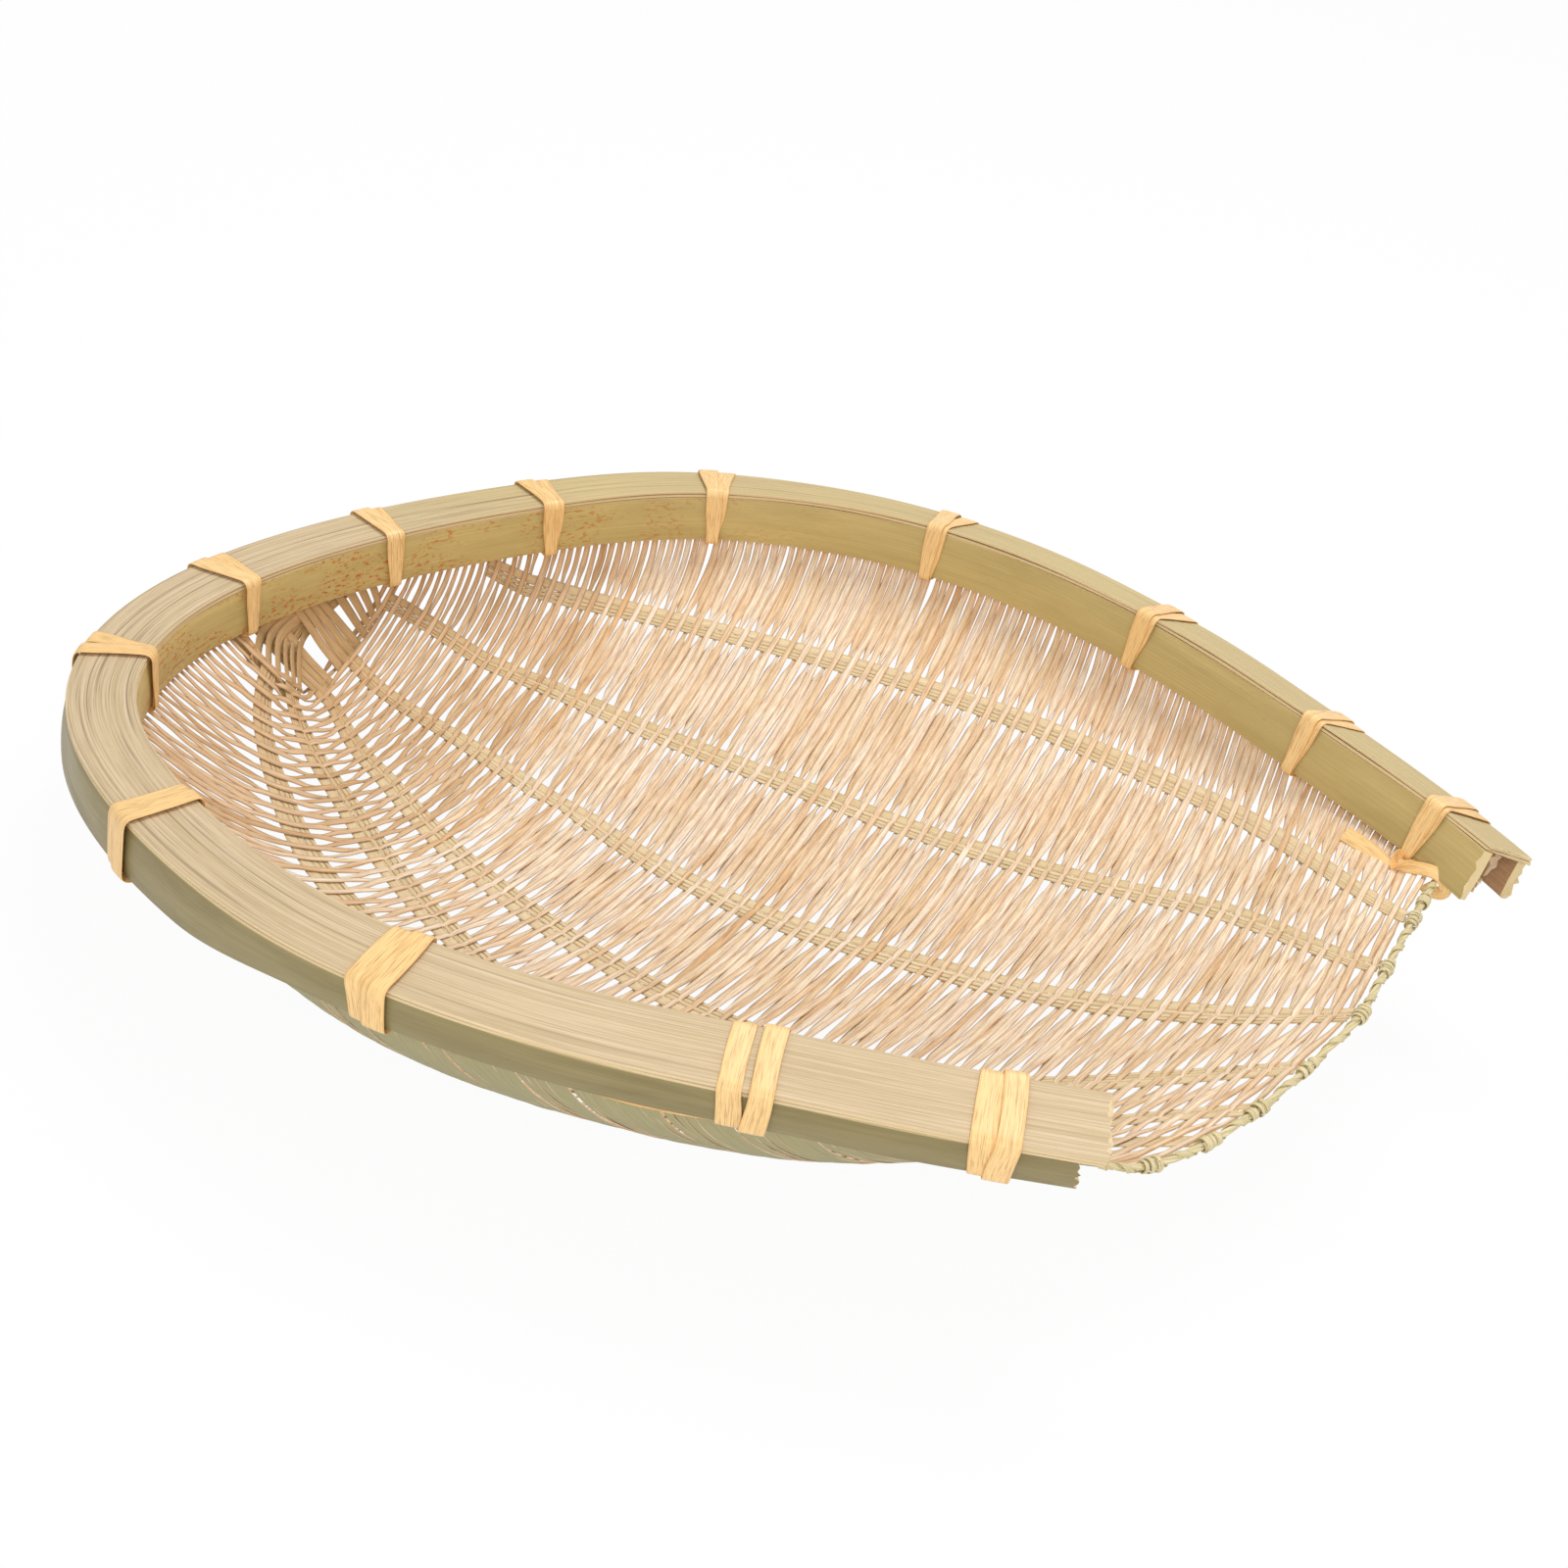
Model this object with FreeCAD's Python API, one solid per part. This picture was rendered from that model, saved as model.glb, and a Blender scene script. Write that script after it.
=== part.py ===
import FreeCAD, Part
import bisect
import math
import os
from FreeCAD import Matrix, Vector

# Winnowing basket of split bamboo: a woven mat in a bent rim that is open on one side.
# +X points out of the mouth, +Y to the left arm of the rim, +Z up. It rests on its belly at z = 0.
# Millimetres and degrees.

# ---- rim ------------------------------------------------------------------------------
# Inner top edge of the rim in plan, from the end of the right arm round the back to the
# end of the left arm. The hoop was bent by hand, so its two halves differ a little.
RIM_OUTLINE = [
    (199, -116), (142, -144), (96, -163), (49, -180), (-1, -191), (-53, -192),
    (-102, -181), (-156, -158), (-206, -118), (-233, -61), (-234, -3), (-217, 57),
    (-190, 110), (-155, 156), (-105, 185), (-54, 196), (-1, 194), (49, 183),
    (98, 166), (143, 146), (203, 119), (235, 101),
]
RIM_TOP_HEIGHT = 85.1        # inner top edge above the ground at x = 0
RIM_CLIMB = 0.060            # its rise per mm towards the mouth
RIM_CROWN = 0.000169         # its droop per mm squared, both ways
BANK_MIDDLE = 11.4           # outward lean of the rim's top at x = 0
BANK_CLIMB = 0.045           # added lean per mm towards the mouth
RIM_WIDTH = 24.4
INNER_HOOP_DEPTH = 22.7      # top of the rim to the inner hoop's lower edge
OUTER_HOOP_DEPTH = 17.5
HOOP_THICKNESS = 4.4
HOOP_BELLY = 0.7             # bulge of the bamboo skin between its two edges
TOP_STRIP_THICKNESS = 1.25
SEAT = 0.15                  # clearance between pieces that lie on each other
CORE_WIDTH = 6.0
CORE_DEPTH = 10.0
RIGHT_ARM_LENGTH = 549.0     # from the middle of the back to the arm's end, along the rim
LEFT_ARM_LENGTH = 592.0
OUTER_HOOP_SET_BACK = 7.0    # the outer hoop stops this much short on the right arm
RIM_STEP = 11.0              # spacing of the stations along the rim
PATH_STEPS = 1600            # fine steps in which the rim's length is measured

# ---- mat --------------------------------------------------------------------------------
WEFT_COUNT = 140
WEFT_PITCH = 3.2             # along the centre line
WEFT_WIDTH = 2.5
WEFT_THICKNESS = 0.8
WEFT_GAP = 0.35
WEFTS_PER_NODE = 10
RIB_STRIPS = 5               # narrow strips side by side in one rib
RIB_STRIP_PITCH = 2.2
RIB_STRIP_GAP = 0.25
RIB_THICKNESS = 0.6
RIB_STEP = 3.0               # spacing of a rib's stations, in wefts
EDGE_RIB_STRIPS = 3
EDGE_RIB_STRIP_WIDTH = 2.0
WEAVE_CLEARANCE = 0.1
APEX_X = -226.0              # where the weave starts, low on the back wall
FLOOR_HEIGHT = 6.5           # mid-surface of the belly above the ground, on the centre line
MOUTH_X = 229.0
MOUTH_HEIGHT = 71.9
FLAT_FLOOR_END = 0.0         # from here the floor climbs to the mouth
CLIMB_POWER = 2.1
# The mat's shape at the wefts named in SHAPE_WEFTS, on the left (1) and on the right (-1): how a
# weft drops from the rim and runs inwards, in shares of the wall's height, and how far the floor
# reaches towards the rim. The basket is lopsided: its right side bulges and hangs lower.
SHAPE_WEFTS = (0, 20, 45, 95, 140)
WALL_DROP = {1: (0.68, 1.19, 0.67, 0.66, 1.02), -1: (0.58, 1.30, 1.40, 0.47, 1.39)}
WALL_INSET = {1: (-0.30, -0.18, 0.13, 0.03, -0.10), -1: (1.22, 1.60, 0.42, -0.16, -0.35)}
FLOOR_REACH = {1: (0.15, 0.15, 0.17, 0.32, 0.64), -1: (0.18, 0.79, 0.81, 0.82, 0.59)}
FLOOR_TILT = (0.13, -0.09, 0.02, 0.18, 0.35)     # rise of a weft to the left at the centre line
FLOOR_SKEW = (-0.02, -0.28, -0.17, 0.06, 0.12)   # and its swing towards the mouth
# First and last weft's place along the rim, on the left (1) and on the right (-1).
WEFT_PLACES = {1: (49.5, 574.0), -1: (24.5, 540.0)}
TUCK = 11.0                  # length of a strip's end between the hoops
SEAT_AT_HOOP = 0.4           # slack between the inner hoop and the wefts' ends
CORNER_SWING = (1.5, -22.0, -30.0)    # the mouth's right corner hangs out and down past the arm
EDGE_STRAIGHTENING = {1: 1.0, -1: 0.3}
FLATTENING_START = 0.78      # share of the wefts before the mat starts to flatten to the mouth
WEAVE_RUN_OUT = 14.0         # past its outermost rib a weft settles to the mat's middle in this length
RIB_MARGIN = 1.0             # a weft keeps its level this far past a rib's edge
END_STATION = 3.0            # a weft leaves the hoop straight for this length
STATION_SPACING = 1.5        # least distance between two stations of a weft
WEFT_SHARES = [0.0, 0.04, 0.1, 0.17, 0.25, 0.33, 0.41, 0.5, 0.6, 0.7, 0.8, 0.9]
SPAN_SHARES = (0.36, 0.5, 0.64)    # a weft's stations between two ribs
TRACK_STEP = 0.01            # step along a weft, in t, for measuring lengths
FRAME_STEP = 0.004           # and for measuring directions

# ---- ribs ---------------------------------------------------------------------------------
# How far along a weft each rib crosses it, 0 at the rim, 1 at the centre line and more beyond it,
# at the wefts named in TRACK_WEFTS. Ribs below 0 lie on the right, the others on the left.
RIBS = {
    -3: "rib_right_outer", -2: "rib_right_middle", -1: "rib_right_inner",
    0: "rib_left_inner", 1: "rib_left_middle", 2: "rib_left_outer",
}
TRACK_WEFTS = (0, 8, 20, 45, 95, 140)
RIB_TRACKS = {
    -3: (0.20, 0.29, 0.41, 0.59, 0.60, 0.54),
    -2: (0.40, 0.53, 0.64, 0.70, 0.69, 0.69),
    -1: (1.14, 0.86, 0.82, 0.82, 0.85, 0.84),
    0: (0.55, 0.72, 0.83, 1.00, 1.00, 1.00),
    1: (0.17, 0.32, 0.48, 0.64, 0.67, 0.69),
    2: (-0.30, -0.06, 0.16, 0.34, 0.33, 0.35),
}
RIB_STARTS = {1: 1, 2: 13}   # the two that start at the rim and not in the back gusset
# The strips of a rib stand this close at the back, open out over so many wefts, and close up by
# the last share from a share of the wefts on.
CLOSED_AT_BACK = 0.72
OPEN_FROM_WEFT = 30
CLOSING_AT_MOUTH = 0.25
CLOSING_START = 0.85
GUSSET_FOOT = -0.8           # where the others start to climb the gusset, in wefts
GUSSET_FAN = 1.2            # their strips spread this much on the way to the rim
GUSSET_SHARES = (1.0, 0.85, 0.7, 0.55, 0.4, 0.25, 0.1)
GUSSET_LANDING = 0.5         # share of the climb by which a rib lies on the gusset
GUSSET_CROSSING = 0.2        # share of the climb in which it changes over
# Where each ends on the rim, whether it lies over (1) or under (-1) the first band it meets,
# and the share of its climb where it changes over.
GUSSET_ENDS = {-1: (-14.5, 1, 0.44), 0: (4.0, -1, 0.44), -2: (33.5, -1, 0.26), -3: (15.0, 1, 0.26)}

# ---- mouth edge ---------------------------------------------------------------------------
EDGE_ROD_RADIUS = 1.7
EDGE_ROD_STEP = 1.5          # beyond the last weft, in wefts
EDGE_ROD_CORNERS = 8
TURN_LENGTH = 7.5            # the ribs' ends wound round the edge rod
TURN_THICKNESS = 0.9
EDGE_RIB_TURNS = [(-1, 0.34), (1, 0.20)]
ROD_SHARES = [0.05, 0.12, 0.2, 0.3, 0.4, 0.5, 0.6, 0.7, 0.8, 0.9]

# ---- lashings -----------------------------------------------------------------------------
# Place along the rim from the middle of the back, right arm negative, and how far the two
# bands of the lashing stand apart on top of the rim.
LASHINGS = [
    (-517, 3.5), (-444, 4.8), (-331, 3.4), (-215, 3.0), (-99, 4.7), (-24, 3.8), (49, 2.4),
    (123, 3.2), (197, 3.5), (297, 4.0), (406, 4.0), (499, 3.6), (564, 3.5),
]
BAND_WIDTH = 7.6
BAND_THICKNESS = 0.6
BAND_SEAT = 0.4              # slack between a band and the rim
HOLE_MARGIN = 1.4            # clear mat on each side of a lashing
SQUEEZE_REACH = 22.0         # wefts this near a lashing are pushed aside
RUN_WIDTH = 5.5              # strip that runs under the outer hoop between two lashings
RUN_INSET = 1.0              # and how far in from the rim's outer edge
KNOT_SIZE = 6.0
KNOT_FLATNESS = 0.75
KNOT_ROUNDING = 0.2
TAIL_LENGTH = 24.0
TAIL_WIDTH = 5.0
LOOP_WIDTH = 6.0
LOOP_PLACE = 0.075           # along the edge rod's left half, 0 at the rim

HOOPS_TOP = 2 * (TOP_STRIP_THICKNESS + SEAT)
WEAVE_OFFSET = (WEFT_THICKNESS + RIB_THICKNESS) / 2 + WEAVE_CLEARANCE
WEFT_SEAT = HOOP_THICKNESS + SEAT_AT_HOOP + SEAT + WEFT_THICKNESS / 2
EDGE_RIB_SEAT = WEFT_SEAT + WEFT_THICKNESS / 2 + SEAT
CORE_SEAT = EDGE_RIB_SEAT + RIB_THICKNESS + SEAT
RIB_HALF_WIDTH = RIB_STRIPS * RIB_STRIP_PITCH / 2
ROD_AT = WEFT_COUNT - 1 + EDGE_ROD_STEP


# ---- solids from long edges ---------------------------------------------------------------
def smooth(share):
    """0 below 0, 1 above 1 and an even S between."""
    share = min(max(share, 0.0), 1.0)
    return share * share * (3 - 2 * share)


def spline_curve(points):
    curve = Part.BSplineCurve()
    curve.interpolate(points)
    return curve


def strip_solid(corner_lines):
    """Solid with a polygon section: one smooth long edge per corner, ruled faces, flat ends."""
    edges = [spline_curve(line).toShape() for line in corner_lines]
    faces = []
    for i, edge in enumerate(edges):
        faces.append(Part.makeRuledSurface(edge, edges[(i + 1) % len(edges)]))
    for end in (0, -1):
        corners = [line[end] for line in corner_lines]
        faces.append(Part.Face(Part.makePolygon(corners + corners[:1])))
    solid = Part.Solid(Part.Shell(faces))
    if solid.Volume < 0:
        solid.reverse()
    return solid


def ribbon_solid(stations, thickness):
    """Flat strip; each station gives its centre, side direction, normal and width."""
    lines = [[], [], [], []]
    for centre, side, normal, width in stations:
        half_side = side * (width / 2)
        half_normal = normal * (thickness / 2)
        lines[0].append(centre - half_side - half_normal)
        lines[1].append(centre + half_side - half_normal)
        lines[2].append(centre + half_side + half_normal)
        lines[3].append(centre - half_side + half_normal)
    return strip_solid(lines)


# ---- the rim's path -----------------------------------------------------------------------
def rim_path():
    """Fine stations of the rim's inner top edge in plan: arc lengths, places and directions."""
    curve = spline_curve([Vector(x, y, 0) for x, y in RIM_OUTLINE])
    first = curve.FirstParameter
    span = curve.LastParameter - first
    places = []
    lengths = []
    middle = 0.0
    for i in range(PATH_STEPS + 1):
        parameter = first + span * i / PATH_STEPS
        place = curve.value(parameter)
        along = Vector(curve.tangent(parameter)[0])
        lengths.append(lengths[-1] + place.distanceToPoint(places[-1][0]) if places else 0.0)
        if places and places[-1][0].y < 0 <= place.y:
            middle = lengths[-1]
        places.append((place, along))
    return [length - middle for length in lengths], places


PATH_LENGTHS, PATH_PLACES = rim_path()


def rim_frame(s, u=0.0, v=0.0):
    """Rim at arc length s: the point u outwards across its top and v down its side, and
    the directions along, across and down."""
    i = min(max(bisect.bisect(PATH_LENGTHS, s), 1), len(PATH_LENGTHS) - 1)
    share = (s - PATH_LENGTHS[i - 1]) / (PATH_LENGTHS[i] - PATH_LENGTHS[i - 1])
    low, high = PATH_PLACES[i - 1], PATH_PLACES[i]
    place = low[0] + (high[0] - low[0]) * share
    along = low[1] + (high[1] - low[1]) * share
    along.normalize()
    outward = Vector(-along.y, along.x, 0)
    upward = Vector(0, 0, 1)
    bank = math.radians(BANK_MIDDLE + BANK_CLIMB * place.x)
    across = outward * math.cos(bank) - upward * math.sin(bank)
    down = upward * -math.cos(bank) - outward * math.sin(bank)
    height = RIM_TOP_HEIGHT + RIM_CLIMB * place.x - RIM_CROWN * place.x ** 2
    point = Vector(place.x, place.y, height) + across * u + down * v
    return point, along, across, down


def rim_bar(section, start, finish):
    """Bar along the rim whose section is a polygon in the rim's own u and v."""
    count = max(int((finish - start) / RIM_STEP), 4)
    stations = [start + (finish - start) * i / count for i in range(count + 1)]
    return strip_solid([[rim_frame(s, u, v)[0] for s in stations] for u, v in section])


def box_section(u, width, v, depth):
    return [(u, v), (u + width, v), (u + width, v + depth), (u, v + depth)]


# ---- rim pieces ---------------------------------------------------------------------------
def inner_hoop():
    half = (HOOPS_TOP + INNER_HOOP_DEPTH) / 2
    section = box_section(0, HOOP_THICKNESS, HOOPS_TOP, INNER_HOOP_DEPTH - HOOPS_TOP)
    section.append((-HOOP_BELLY, half))
    return rim_bar(section, -RIGHT_ARM_LENGTH, LEFT_ARM_LENGTH)


def outer_hoop():
    half = (HOOPS_TOP + OUTER_HOOP_DEPTH) / 2
    inner_face = RIM_WIDTH - HOOP_THICKNESS
    section = box_section(inner_face, HOOP_THICKNESS, HOOPS_TOP, OUTER_HOOP_DEPTH - HOOPS_TOP)
    section.insert(2, (RIM_WIDTH + HOOP_BELLY, half))
    return rim_bar(section, OUTER_HOOP_SET_BACK - RIGHT_ARM_LENGTH, LEFT_ARM_LENGTH)


def top_strip(layer):
    section = box_section(0, RIM_WIDTH, layer * (TOP_STRIP_THICKNESS + SEAT), TOP_STRIP_THICKNESS)
    return rim_bar(section, -RIGHT_ARM_LENGTH, LEFT_ARM_LENGTH)


def core_strip():
    section = box_section(CORE_SEAT, CORE_WIDTH, HOOPS_TOP, CORE_DEPTH)
    return rim_bar(section, -RIGHT_ARM_LENGTH, LEFT_ARM_LENGTH)


def edge_rib(start, finish):
    """Strips on edge between the wefts' ends and the core, one under the other."""
    strips = []
    for i in range(EDGE_RIB_STRIPS):
        v = HOOPS_TOP + CORE_DEPTH + SEAT + i * (EDGE_RIB_STRIP_WIDTH + SEAT)
        section = box_section(EDGE_RIB_SEAT, RIB_THICKNESS, v, EDGE_RIB_STRIP_WIDTH)
        strips.append(rim_bar(section, start, finish))
    return strips


# ---- the mat's surface --------------------------------------------------------------------
def floor_height(x):
    """Height of the mat on the centre line: flat belly, then a climb to the mouth."""
    share = max(x - FLAT_FLOOR_END, 0.0) / (MOUTH_X - FLAT_FLOOR_END)
    return FLOOR_HEIGHT + (MOUTH_HEIGHT - FLOOR_HEIGHT) * share ** CLIMB_POWER


def even_place(k, side):
    """Place along the rim of weft k if all stood evenly."""
    start, finish = WEFT_PLACES[side]
    return side * (start + (finish - start) * k / WEFT_COUNT)


def weft_end_place(k, side):
    """Place along the rim of weft k's end, after the nearest lashing has pushed it aside."""
    s = even_place(k, side)
    half_hole = BAND_WIDTH / 2 + HOLE_MARGIN
    for centre, _ in LASHINGS:
        away = abs(s - centre)
        if away < SQUEEZE_REACH:
            shifted = half_hole + away * (SQUEEZE_REACH - half_hole) / SQUEEZE_REACH
            return centre + math.copysign(shifted, s - centre)
    return s


def along_mat(values, k, wefts=SHAPE_WEFTS):
    """Smooth curve over the wefts through the values at some of them."""
    last = len(wefts) - 1
    i = min(max(bisect.bisect(wefts, k), 1), last)
    span = wefts[i] - wefts[i - 1]
    slopes = []
    for j in (i - 1, i):
        low, high = max(j - 1, 0), min(j + 1, last)
        slopes.append((values[high] - values[low]) / (wefts[high] - wefts[low]) * span)
    share = min(max((k - wefts[i - 1]) / span, 0.0), 1.0)
    ease = smooth(share)
    bend = slopes[0] * share * (1 - share) ** 2 - slopes[1] * share ** 2 * (1 - share)
    return values[i - 1] * (1 - ease) + values[i] * ease + bend


def weft_controls(k, side):
    """Control points of weft k on one side, from the rim to the centre line."""
    share = k / WEFT_COUNT
    even, _, across, _ = rim_frame(even_place(k, side), WEFT_SEAT, INNER_HOOP_DEPTH)
    rim = rim_frame(weft_end_place(k, side), WEFT_SEAT, INNER_HOOP_DEPTH)[0]
    x = APEX_X + WEFT_PITCH * (k + 0.5)
    centre = Vector(x, 0, floor_height(x))
    drop = max(even.z - centre.z, 0.0)
    inward = Vector(-across.x, -across.y, 0)
    inward.normalize()
    wall = even + Vector(0, 0, -along_mat(WALL_DROP[side], k) * drop)
    wall = wall + inward * (along_mat(WALL_INSET[side], k) * drop)
    floor_run = Vector(along_mat(FLOOR_SKEW, k), 1, along_mat(FLOOR_TILT, k))
    reach = centre + floor_run * (along_mat(FLOOR_REACH[side], k) * even.y)
    straight_wall = even + (centre - even) / 3
    straight_reach = even + (centre - even) * 2 / 3
    flattening = smooth((share - FLATTENING_START) / (1 - FLATTENING_START))
    wall = straight_wall + (wall - straight_wall) * (1 - flattening)
    straightening = EDGE_STRAIGHTENING[side] * flattening
    reach = straight_reach + (reach - straight_reach) * (1 - straightening)
    if side < 0:
        wall = wall + Vector(*CORNER_SWING) * flattening
    return rim, wall, reach, centre


def mat_point(k, side, t):
    """Point of the mat on weft k: t is 0 at the rim and 1 at the centre line, then crosses over."""
    if t > 1:
        side, t = -side, 2 - t
    p0, p1, p2, p3 = weft_controls(k, side)
    r = 1 - t
    return p0 * (r * r * r) + p1 * (3 * r * r * t) + p2 * (3 * r * t * t) + p3 * (t * t * t)


def mat_frame(k, side, t):
    """Place on the mat, direction along the weft from right to left, normal, and weft spacing."""
    if t > 1:
        side, t = -side, 2 - t
    low = max(t - FRAME_STEP, 0.0)
    along = (mat_point(k, side, t + FRAME_STEP) - mat_point(k, side, low)) * -side
    along.normalize()
    onward = mat_point(k + 0.5, side, t) - mat_point(k - 0.5, side, t)
    onward = onward - along * onward.dot(along)
    spacing = onward.Length
    onward.normalize()
    return mat_point(k, side, t), along, onward.cross(along), spacing


def rib_track(rib, k):
    """The t at which a rib crosses weft k."""
    return along_mat(RIB_TRACKS[rib], k, TRACK_WEFTS)


def rib_side(rib):
    return -1 if rib < 0 else 1


def rib_spread(k):
    """The strips of a rib close up at the back and at the mouth."""
    opening = CLOSED_AT_BACK + (1 - CLOSED_AT_BACK) * smooth(k / OPEN_FROM_WEFT)
    closing = smooth((k / WEFT_COUNT - CLOSING_START) / (1 - CLOSING_START))
    return opening - CLOSING_AT_MOUTH * closing


# ---- wefts --------------------------------------------------------------------------------
def weave_level(arc, crossings, half):
    """Height of a weft over the mat's mid-surface: 1 over a rib, -1 under it, 0 at the rim."""
    first, last = crossings[0], crossings[-1]
    if arc <= first[0]:
        return first[1] * smooth((arc - first[0] + half) / WEAVE_RUN_OUT + 1)
    if arc >= last[0]:
        return last[1] * smooth((last[0] + half - arc) / WEAVE_RUN_OUT + 1)
    for (low, low_sign), (high, high_sign) in zip(crossings, crossings[1:]):
        if low <= arc <= high:
            room = max(high - low - 2 * half, SEAT)
            return low_sign + (high_sign - low_sign) * smooth((arc - low - half) / room)
    return 0.0


def weft_arcs(crossings, half, total):
    """Arc lengths of the stations: three on each rib, the rest spread between them."""
    arcs = [0.0, END_STATION, total - END_STATION, total]
    for arc, _ in crossings:
        arcs += [arc - half, arc, arc + half]
    ends = [(0.0, 0)] + crossings + [(total, 0)]
    for (low, _), (high, _) in zip(ends, ends[1:]):
        if high - low > 3 * half:
            arcs += [low + (high - low) * share for share in SPAN_SHARES]
    kept = [0.0]
    for arc in sorted(arcs):
        if kept[-1] + STATION_SPACING < arc < total - STATION_SPACING:
            kept.append(arc)
    return kept + [total]


def weft_solid(k):
    """One weft from rim to rim, over and under the ribs, its ends tucked between the hoops."""
    places = [(-1, t) for t in WEFT_SHARES] + [(1, 1.0)] + [(1, t) for t in reversed(WEFT_SHARES)]
    frames = [mat_frame(k, side, t) for side, t in places]
    curve = spline_curve([frame[0] for frame in frames])
    first = curve.FirstParameter
    lengths = [curve.length(first, curve.parameter(frame[0])) for frame in frames]
    half = (RIB_HALF_WIDTH + RIB_MARGIN) * rib_spread(k)
    crossings = []
    for rib in sorted(RIBS):
        if k < RIB_STARTS.get(rib, 0):
            continue
        crossing = mat_point(k, rib_side(rib), rib_track(rib, k))
        sign = 1 if (rib + k) % 2 == 0 else -1
        crossings.append((curve.length(first, curve.parameter(crossing)), sign))
    stations = []
    for arc in weft_arcs(crossings, half, lengths[-1]):
        i = min(max(bisect.bisect(lengths, arc), 1), len(lengths) - 1)
        share = (arc - lengths[i - 1]) / (lengths[i] - lengths[i - 1])
        parameter = curve.parameterAtDistance(arc, first)
        along = Vector(curve.tangent(parameter)[0])
        normal = frames[i - 1][2] * (1 - share) + frames[i][2] * share
        normal = normal - along * normal.dot(along)
        normal.normalize()
        spacing = frames[i - 1][3] * (1 - share) + frames[i][3] * share
        level = WEAVE_OFFSET * weave_level(arc, crossings, half)
        centre = curve.value(parameter) + normal * level
        stations.append((centre, normal.cross(along), normal, min(WEFT_WIDTH, spacing - WEFT_GAP)))
    return ribbon_solid(tucked(stations, weft_end_place(k, -1), weft_end_place(k, 1)), WEFT_THICKNESS)


def tucked(stations, first_place, last_place):
    """Lengthen a strip at each end that has a place on the rim, up between the hoops."""
    stations = list(stations)
    for index, place in ((0, first_place), (-1, last_place)):
        if place is None:
            continue
        _, side, normal, width = stations[index]
        for rise in (TUCK / 2, TUCK):
            point, along, across, _ = rim_frame(place, WEFT_SEAT, INNER_HOOP_DEPTH - rise)
            beside = along * math.copysign(1, along.dot(side))
            facing = across * math.copysign(1, across.dot(normal))
            stations.insert(0 if index == 0 else len(stations), (point, beside, facing, width))
    return stations


# ---- ribs ---------------------------------------------------------------------------------
def gusset_x(y, z):
    """The back wall between the two halves of the weave, from the rim down to the apex."""
    rim = rim_frame(y, WEFT_SEAT, INNER_HOOP_DEPTH)[0]
    share = (rim.z - z) / (rim.z - FLOOR_HEIGHT)
    return rim.x + (APEX_X - rim.x) * min(max(share, 0.0), 1.0)


def gusset_stations(rib, offset, start, width):
    """The end of a rib's strip that climbs the back gusset, across the other half's ribs."""
    first, side_hint = start[0], start[1]
    end, sign, change = GUSSET_ENDS[rib]
    s = end - rib_side(rib) * offset * GUSSET_FAN
    finish = rim_frame(s, WEFT_SEAT, INNER_HOOP_DEPTH)[0]
    tuck_end = rim_frame(s, WEFT_SEAT, INNER_HOOP_DEPTH - TUCK)[0]
    slack = first.x - gusset_x(first.y, first.z)
    points = []
    for share in GUSSET_SHARES:
        point = first + (finish - first) * share
        x = gusset_x(point.y, point.z) + slack * (1 - smooth(share / GUSSET_LANDING))
        level = sign * (1 - 2 * smooth((share - change) / GUSSET_CROSSING + 0.5))
        points.append(Vector(x + level * (RIB_THICKNESS / 2 + WEAVE_CLEARANCE), point.y, point.z))
    rise = tuck_end.z - finish.z
    lean = (points[0].y - points[1].y) / (points[0].z - points[1].z)
    points.insert(0, Vector(tuck_end.x, points[0].y + lean * rise / 2, tuck_end.z))
    stations = []
    for i, point in enumerate(points):
        ahead = points[max(i - 1, 0)] - points[min(i + 1, len(points) - 1)]
        ahead.normalize()
        normal = Vector(1, 0, 0) - ahead * ahead.x
        normal.normalize()
        side = ahead.cross(normal)
        if side.dot(side_hint) < 0:
            side = side * -1
        stations.append((point, side, normal, width))
    return stations


def rib_strip(rib, offset):
    """One strip of a rib, from the back to the mouth edge."""
    side = rib_side(rib)
    stop = ROD_AT - (EDGE_ROD_RADIUS + TURN_THICKNESS + 2 * SEAT) / WEFT_PITCH
    start = RIB_STARTS.get(rib, GUSSET_FOOT)
    count = int((stop - start) / RIB_STEP)
    stations = []
    for i in range(count + 1):
        k = start + (stop - start) * i / count
        t = rib_track(rib, k)
        speed = (mat_point(k, side, t) - mat_point(k, side, t - TRACK_STEP)).Length / TRACK_STEP
        place, along, normal, _ = mat_frame(k, side, t + offset * rib_spread(k) / speed)
        stations.append((place, along, normal, RIB_STRIP_PITCH * rib_spread(k) - RIB_STRIP_GAP))
    if rib in GUSSET_ENDS:
        width = RIB_STRIP_PITCH * rib_spread(0) * GUSSET_FAN - RIB_STRIP_GAP
        stations = gusset_stations(rib, offset * rib_spread(0), stations[0], width) + stations
    return ribbon_solid(stations, RIB_THICKNESS)


def rib(number):
    middle = (RIB_STRIPS - 1) / 2
    return [rib_strip(number, (i - middle) * RIB_STRIP_PITCH) for i in range(RIB_STRIPS)]


# ---- mouth edge ---------------------------------------------------------------------------
def edge_rod():
    """Rounded strip along the mouth, its ends under the two arms."""
    places = [(-1, t) for t in ROD_SHARES] + [(1, 1.0)] + [(1, t) for t in reversed(ROD_SHARES)]
    lines = [[] for _ in range(EDGE_ROD_CORNERS)]
    for side, t in places:
        place, along, normal, _ = mat_frame(ROD_AT, side, t)
        onward = normal.cross(along)
        for i, line in enumerate(lines):
            angle = 2 * math.pi * (i + 0.5) / EDGE_ROD_CORNERS
            line.append(place + (normal * math.cos(angle) + onward * math.sin(angle)) * EDGE_ROD_RADIUS)
    return strip_solid(lines)


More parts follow.
